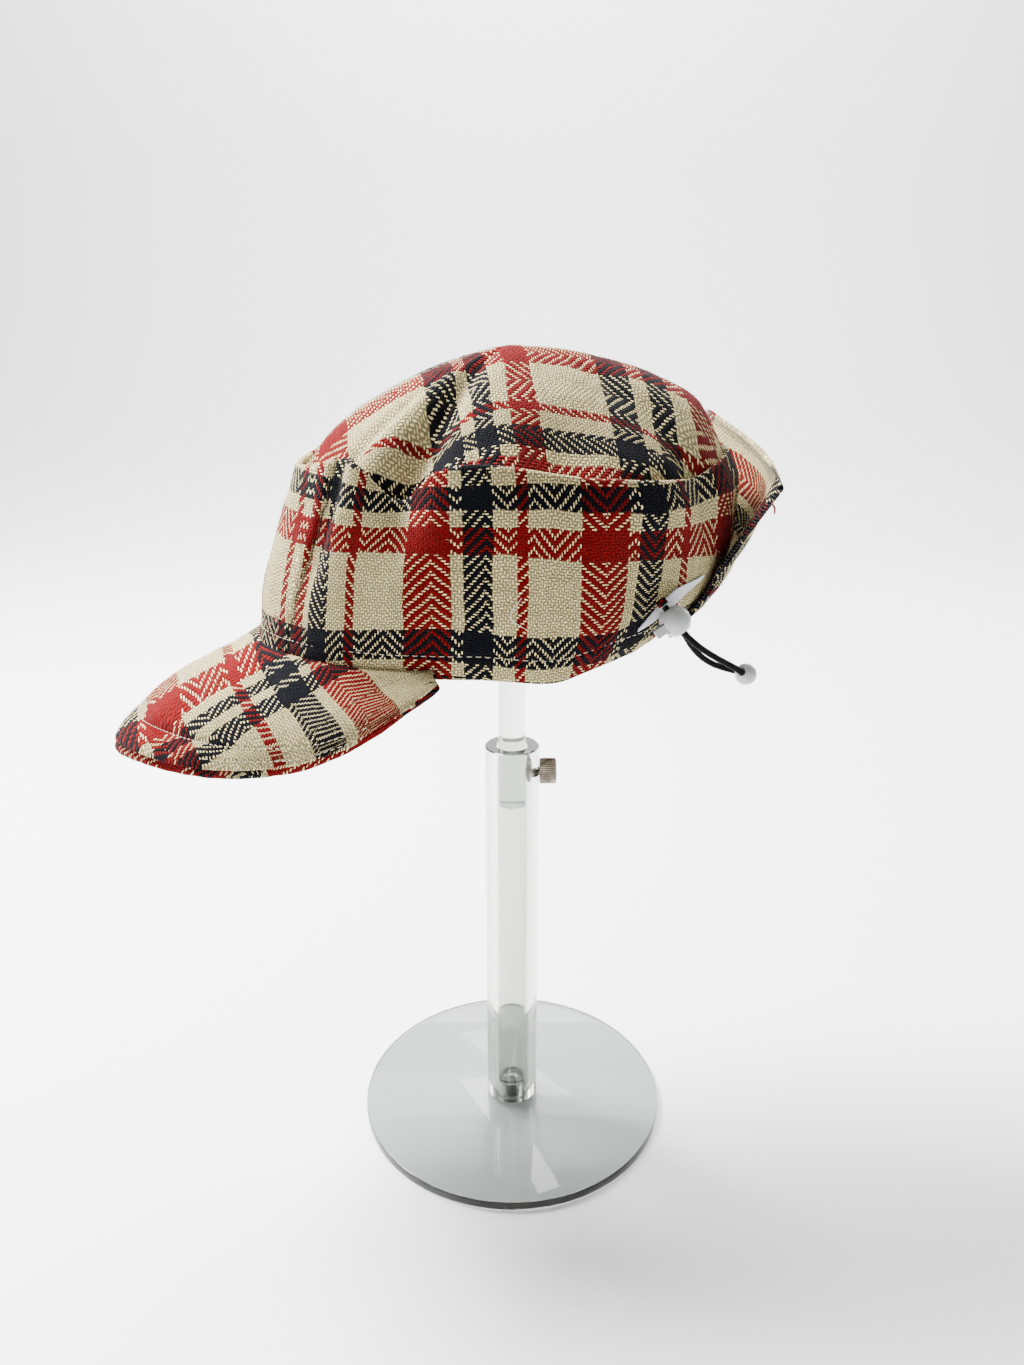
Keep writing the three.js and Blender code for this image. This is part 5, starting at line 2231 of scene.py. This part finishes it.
    def screw(self) -> None:
        """The steel stud that holds the tube to the disc, its thread as rounded ridges."""
        low, high = self.base_thickness / 3, self.stud_top
        r, pitch, depth = self.screw_diameter / 2, self.thread_pitch, self.thread_depth
        profile = [(0.0, low), (r - depth, low)]
        for n in range(int((high - low - self.thread_spare) / pitch)):
            z = low + self.thread_start + n * pitch
            profile += [(r - depth, z), (r, z + pitch * 0.45), (r - depth, z + pitch * 0.9)]
        profile += [(r - depth, high - 0.2), (r - 2 * depth, high), (0.0, high)]
        self.piece("foot_stud", profile, self.steel, "base_screw", sides=64)

    def rod(self) -> None:
        """The inner rod, from inside the tube to the pad."""
        low, high = self.tube_top - self.rod_overlap, self.pad_low - self.seat
        r, b = self.rod_diameter / 2, self.polish
        profile = [(0, low), (r - b, low), (r, low + b), (r, high - b), (r - b, high), (0, high)]
        self.piece("inner_rod", profile, self.acrylic, "stand_rod")

    def pad(self) -> None:
        """The pad under the cap's top, a low cone with a rounded rim."""
        low, r, b = self.pad_low, self.pad_diameter / 2, self.polish
        top, eye = low + self.pad_thickness, self.pad_eye
        shoulder = top - self.pad_crown
        profile = [(0, low), (r - b, low), (r, low + b), (r, shoulder - b), (r - b, shoulder)]
        profile += [(r * eye, top - self.pad_crown * eye), (0, top)]
        self.piece("top_pad", profile, self.acrylic, "stand_pad")

    def clamp(self) -> None:
        """The clamp screw: a knurled head and a shank through the tube's wall."""
        start = self.rod_diameter / 2
        neck = self.tube_diameter / 2 - start
        shank, head, end = self.clamp_shank / 2, self.clamp_head / 2, neck + self.clamp_head_length
        face, rounding, floor = neck + self.clamp_stand_off, self.clamp_round, end - self.clamp_dish
        profile = [(0, 0), (shank, 0), (shank, face), (head - rounding, face)]
        profile += self.corner(head - rounding, face + rounding, rounding, -90, 0)
        profile += self.corner(head - rounding, end - rounding, rounding, 0, 90)
        profile += [(head * 0.55, end), (head * 0.5, floor), (0, floor)]
        item = lathe("clamp_thumbscrew", profile, self.steel, sides=self.knurls * 8)
        self.knurl(item, neck)
        self.aim(item, start)
        self.crisp(item, 50.0)
        finish_piece(item, ["clamp_screw"])

    def knurl(self, item: Item, neck: float) -> None:
        """Cuts grooves round the head: the radius swings with the angle at its rim."""

        def grooved(at: Array) -> Array:
            point = at.astype(float) / MM
            r = np.hypot(point[:, 0], point[:, 1])
            angle = np.arctan2(point[:, 1], point[:, 0])
            rim = (r > self.clamp_head / 2 - self.knurl_reach) & (point[:, 2] > neck)
            swing = self.knurl_depth * (0.5 + 0.5 * np.cos(self.knurls * angle))
            point[:, :2] *= np.where(rim, 1 - swing, 1.0)[:, None]
            return point * MM

        move_points(item, grooved)

    def build(self) -> None:
        """Makes the whole stand."""
        self.base()
        self.tube()
        self.plug()
        self.screw()
        self.rod()
        self.pad()
        self.clamp()


# Camera, floor and light


@dataclass
class Studio:
    """A pale room: a floor that bends up into a back wall, soft lamps and the camera."""

    camera_place: tuple[float, float, float] = (0.0, -0.4359, 0.3799)
    camera_pitch: float = 70.8
    lens: float = 27.03
    sensor: float = 36.0
    room: float = 2.4
    bend: float = 0.9
    sink: float = 0.1
    papers: tuple[Screen, Screen] = ((253, 253, 254), (255, 255, 255))
    paper_cloud: tuple = (3.0, 3.0)
    paper_roughness: float = 0.85
    surround: float = 0.4

    def camera(self) -> None:
        """The camera, where the photo's angle and size on the frame put it."""
        data = bpy.data.cameras.new("camera")
        data.lens = self.lens
        data.sensor_width = self.sensor
        data.clip_start = 0.01
        item = bpy.data.objects.new("camera", data)
        item.location = self.camera_place
        item.rotation_euler = Euler((math.radians(self.camera_pitch), 0.0, 0.0))
        bpy.context.scene.collection.objects.link(item)
        bpy.context.scene.camera = item

    def floor(self) -> None:
        """A white floor under the stand, bending up far behind it."""
        material, sheet, shader = new_material("floor_paper")
        cloud = sheet.noise(sheet.place(), *self.paper_cloud)
        tone = sheet.mix(cloud.outputs[0], *(linear(*paper) for paper in self.papers))
        sheet.put(shader.inputs["Base Color"], tone)
        sheet.put(shader.inputs["Roughness"], self.paper_roughness)
        turn = np.linspace(0, np.pi / 2, 25)
        y = np.concatenate([[-self.room], self.room + self.bend * np.sin(turn), [self.room + self.bend]])
        z = np.concatenate([[0.0], self.bend * (1 - np.cos(turn)), [self.room + self.bend]])
        x = np.array([-self.room * 2, self.room * 2])
        points = as_points(x / MM, y[:, None] / MM, z[:, None] / MM - self.sink)
        item = grid_object("floor", points, material)

    def lamp(
        self,
        name: str,
        place: tuple[float, float, float],
        power: float,
        size: float,
        length: Optional[float] = None,
        roll: float = 0.0,
        target: tuple[float, float, float] = (-0.02, 0.0, 0.28),
    ) -> None:
        """A soft lamp aimed at the cap or another target.

        Args:
            name: The lamp's name.
            place: Where it hangs, in metres.
            power: Its power in watts.
            size: Its width, in metres.
            length: Its length, where it isn't square.
            roll: How far it is turned about its own aim, in degrees.
            target: Where it points.
        """
        data = bpy.data.lights.new(name, "AREA")
        data.energy = power
        data.shape = "SQUARE" if length is None else "RECTANGLE"
        data.size = size
        if length is not None:
            data.size_y = length
        item = bpy.data.objects.new(name, data)
        way = np.array(target) - np.array(place)
        item.location = place
        pitch = math.atan2(math.hypot(way[0], way[1]), -way[2])
        aim = Euler((pitch, 0.0, math.atan2(way[1], way[0]) - math.pi / 2)).to_matrix()
        own = Euler((0.0, 0.0, math.radians(roll))).to_matrix()
        item.rotation_euler = (aim @ own).to_euler()
        bpy.context.scene.collection.objects.link(item)

    def world(self) -> None:
        """A plain bright surround."""
        world = bpy.data.worlds.new("surround")
        world.use_nodes = True
        back = world.node_tree.nodes["Background"]
        NodeSheet(world.node_tree).dress(back, {"Color": (1.0,) * 4, "Strength": self.surround})
        bpy.context.scene.world = world

    def build(self) -> None:
        """Sets up the room."""
        self.floor()
        self.world()
        self.lamp("key_lamp", (-0.7, 0.3, 1.2), 108.0, 0.5)
        self.lamp("fill_lamp", (0.6, -1.3, 0.9), 2.0, 1.0)
        self.lamp("rim_lamp", (0.9, 0.9, 0.8), 10.0, 0.6)
        self.lamp("backdrop_lamp", (0.0, 1.5, 2.9), 280.0, 1.6, target=(0.0, 3.3, 0.9))
        self.lamp("strip_lamp", (-0.15, 3.1, 2.95), 16.0, 0.2, length=2.2, roll=24.0)


def main() -> None:
    """Builds the dressed cap on its stand, in order."""
    logging.basicConfig(level=logging.INFO, format="%(name)s: %(message)s")
    studio = Studio()
    studio.camera()
    form = CapForm()
    wool = Plaid().material("plaid_wool")
    cream = Thread("cream_thread", (226, 217, 190)).material()
    dark = Thread("dark_thread", (26, 24, 30)).material()
    Drawcord(form, wool, BraidedElastic().material(), MouldedPlastic().material()).build()
    wall = CrownWall(form, wool, cream)
    wall.build()
    wall.stitching()
    top = CrownTop(form, wool)
    top.build()
    peak = Peak(form, wool, cream)
    peak.build()
    peak.stitching()
    flap = NeckFlap(form, wool, dark)
    flap.build()
    flap.oversewing()
    SizeLabel(form, LabelWeave().material()).build()
    LooseThreads(form).build()
    fuzz = WoolFuzz(form, wool)
    fuzz.grow("wall_fuzz", 5200, 101, wall.nap())
    fuzz.grow("top_fuzz", 3000, 102, top.nap())
    fuzz.grow("peak_fuzz", 1500, 103, peak.nap())
    fuzz.grow("flap_fuzz", 1300, 104, flap.nap())
    DisplayStand(
        ClearAcrylic("clear_acrylic", (206, 209, 204)).material(),
        ClearAcrylic("clear_acrylic_disc", (228, 231, 230), 0.08).material(),
        BrushedSteel("thumbscrew_steel").material(),
        form.peak_top,
        top.thickness,
    ).build()
    studio.build()


if __name__ == "__main__":
    main()
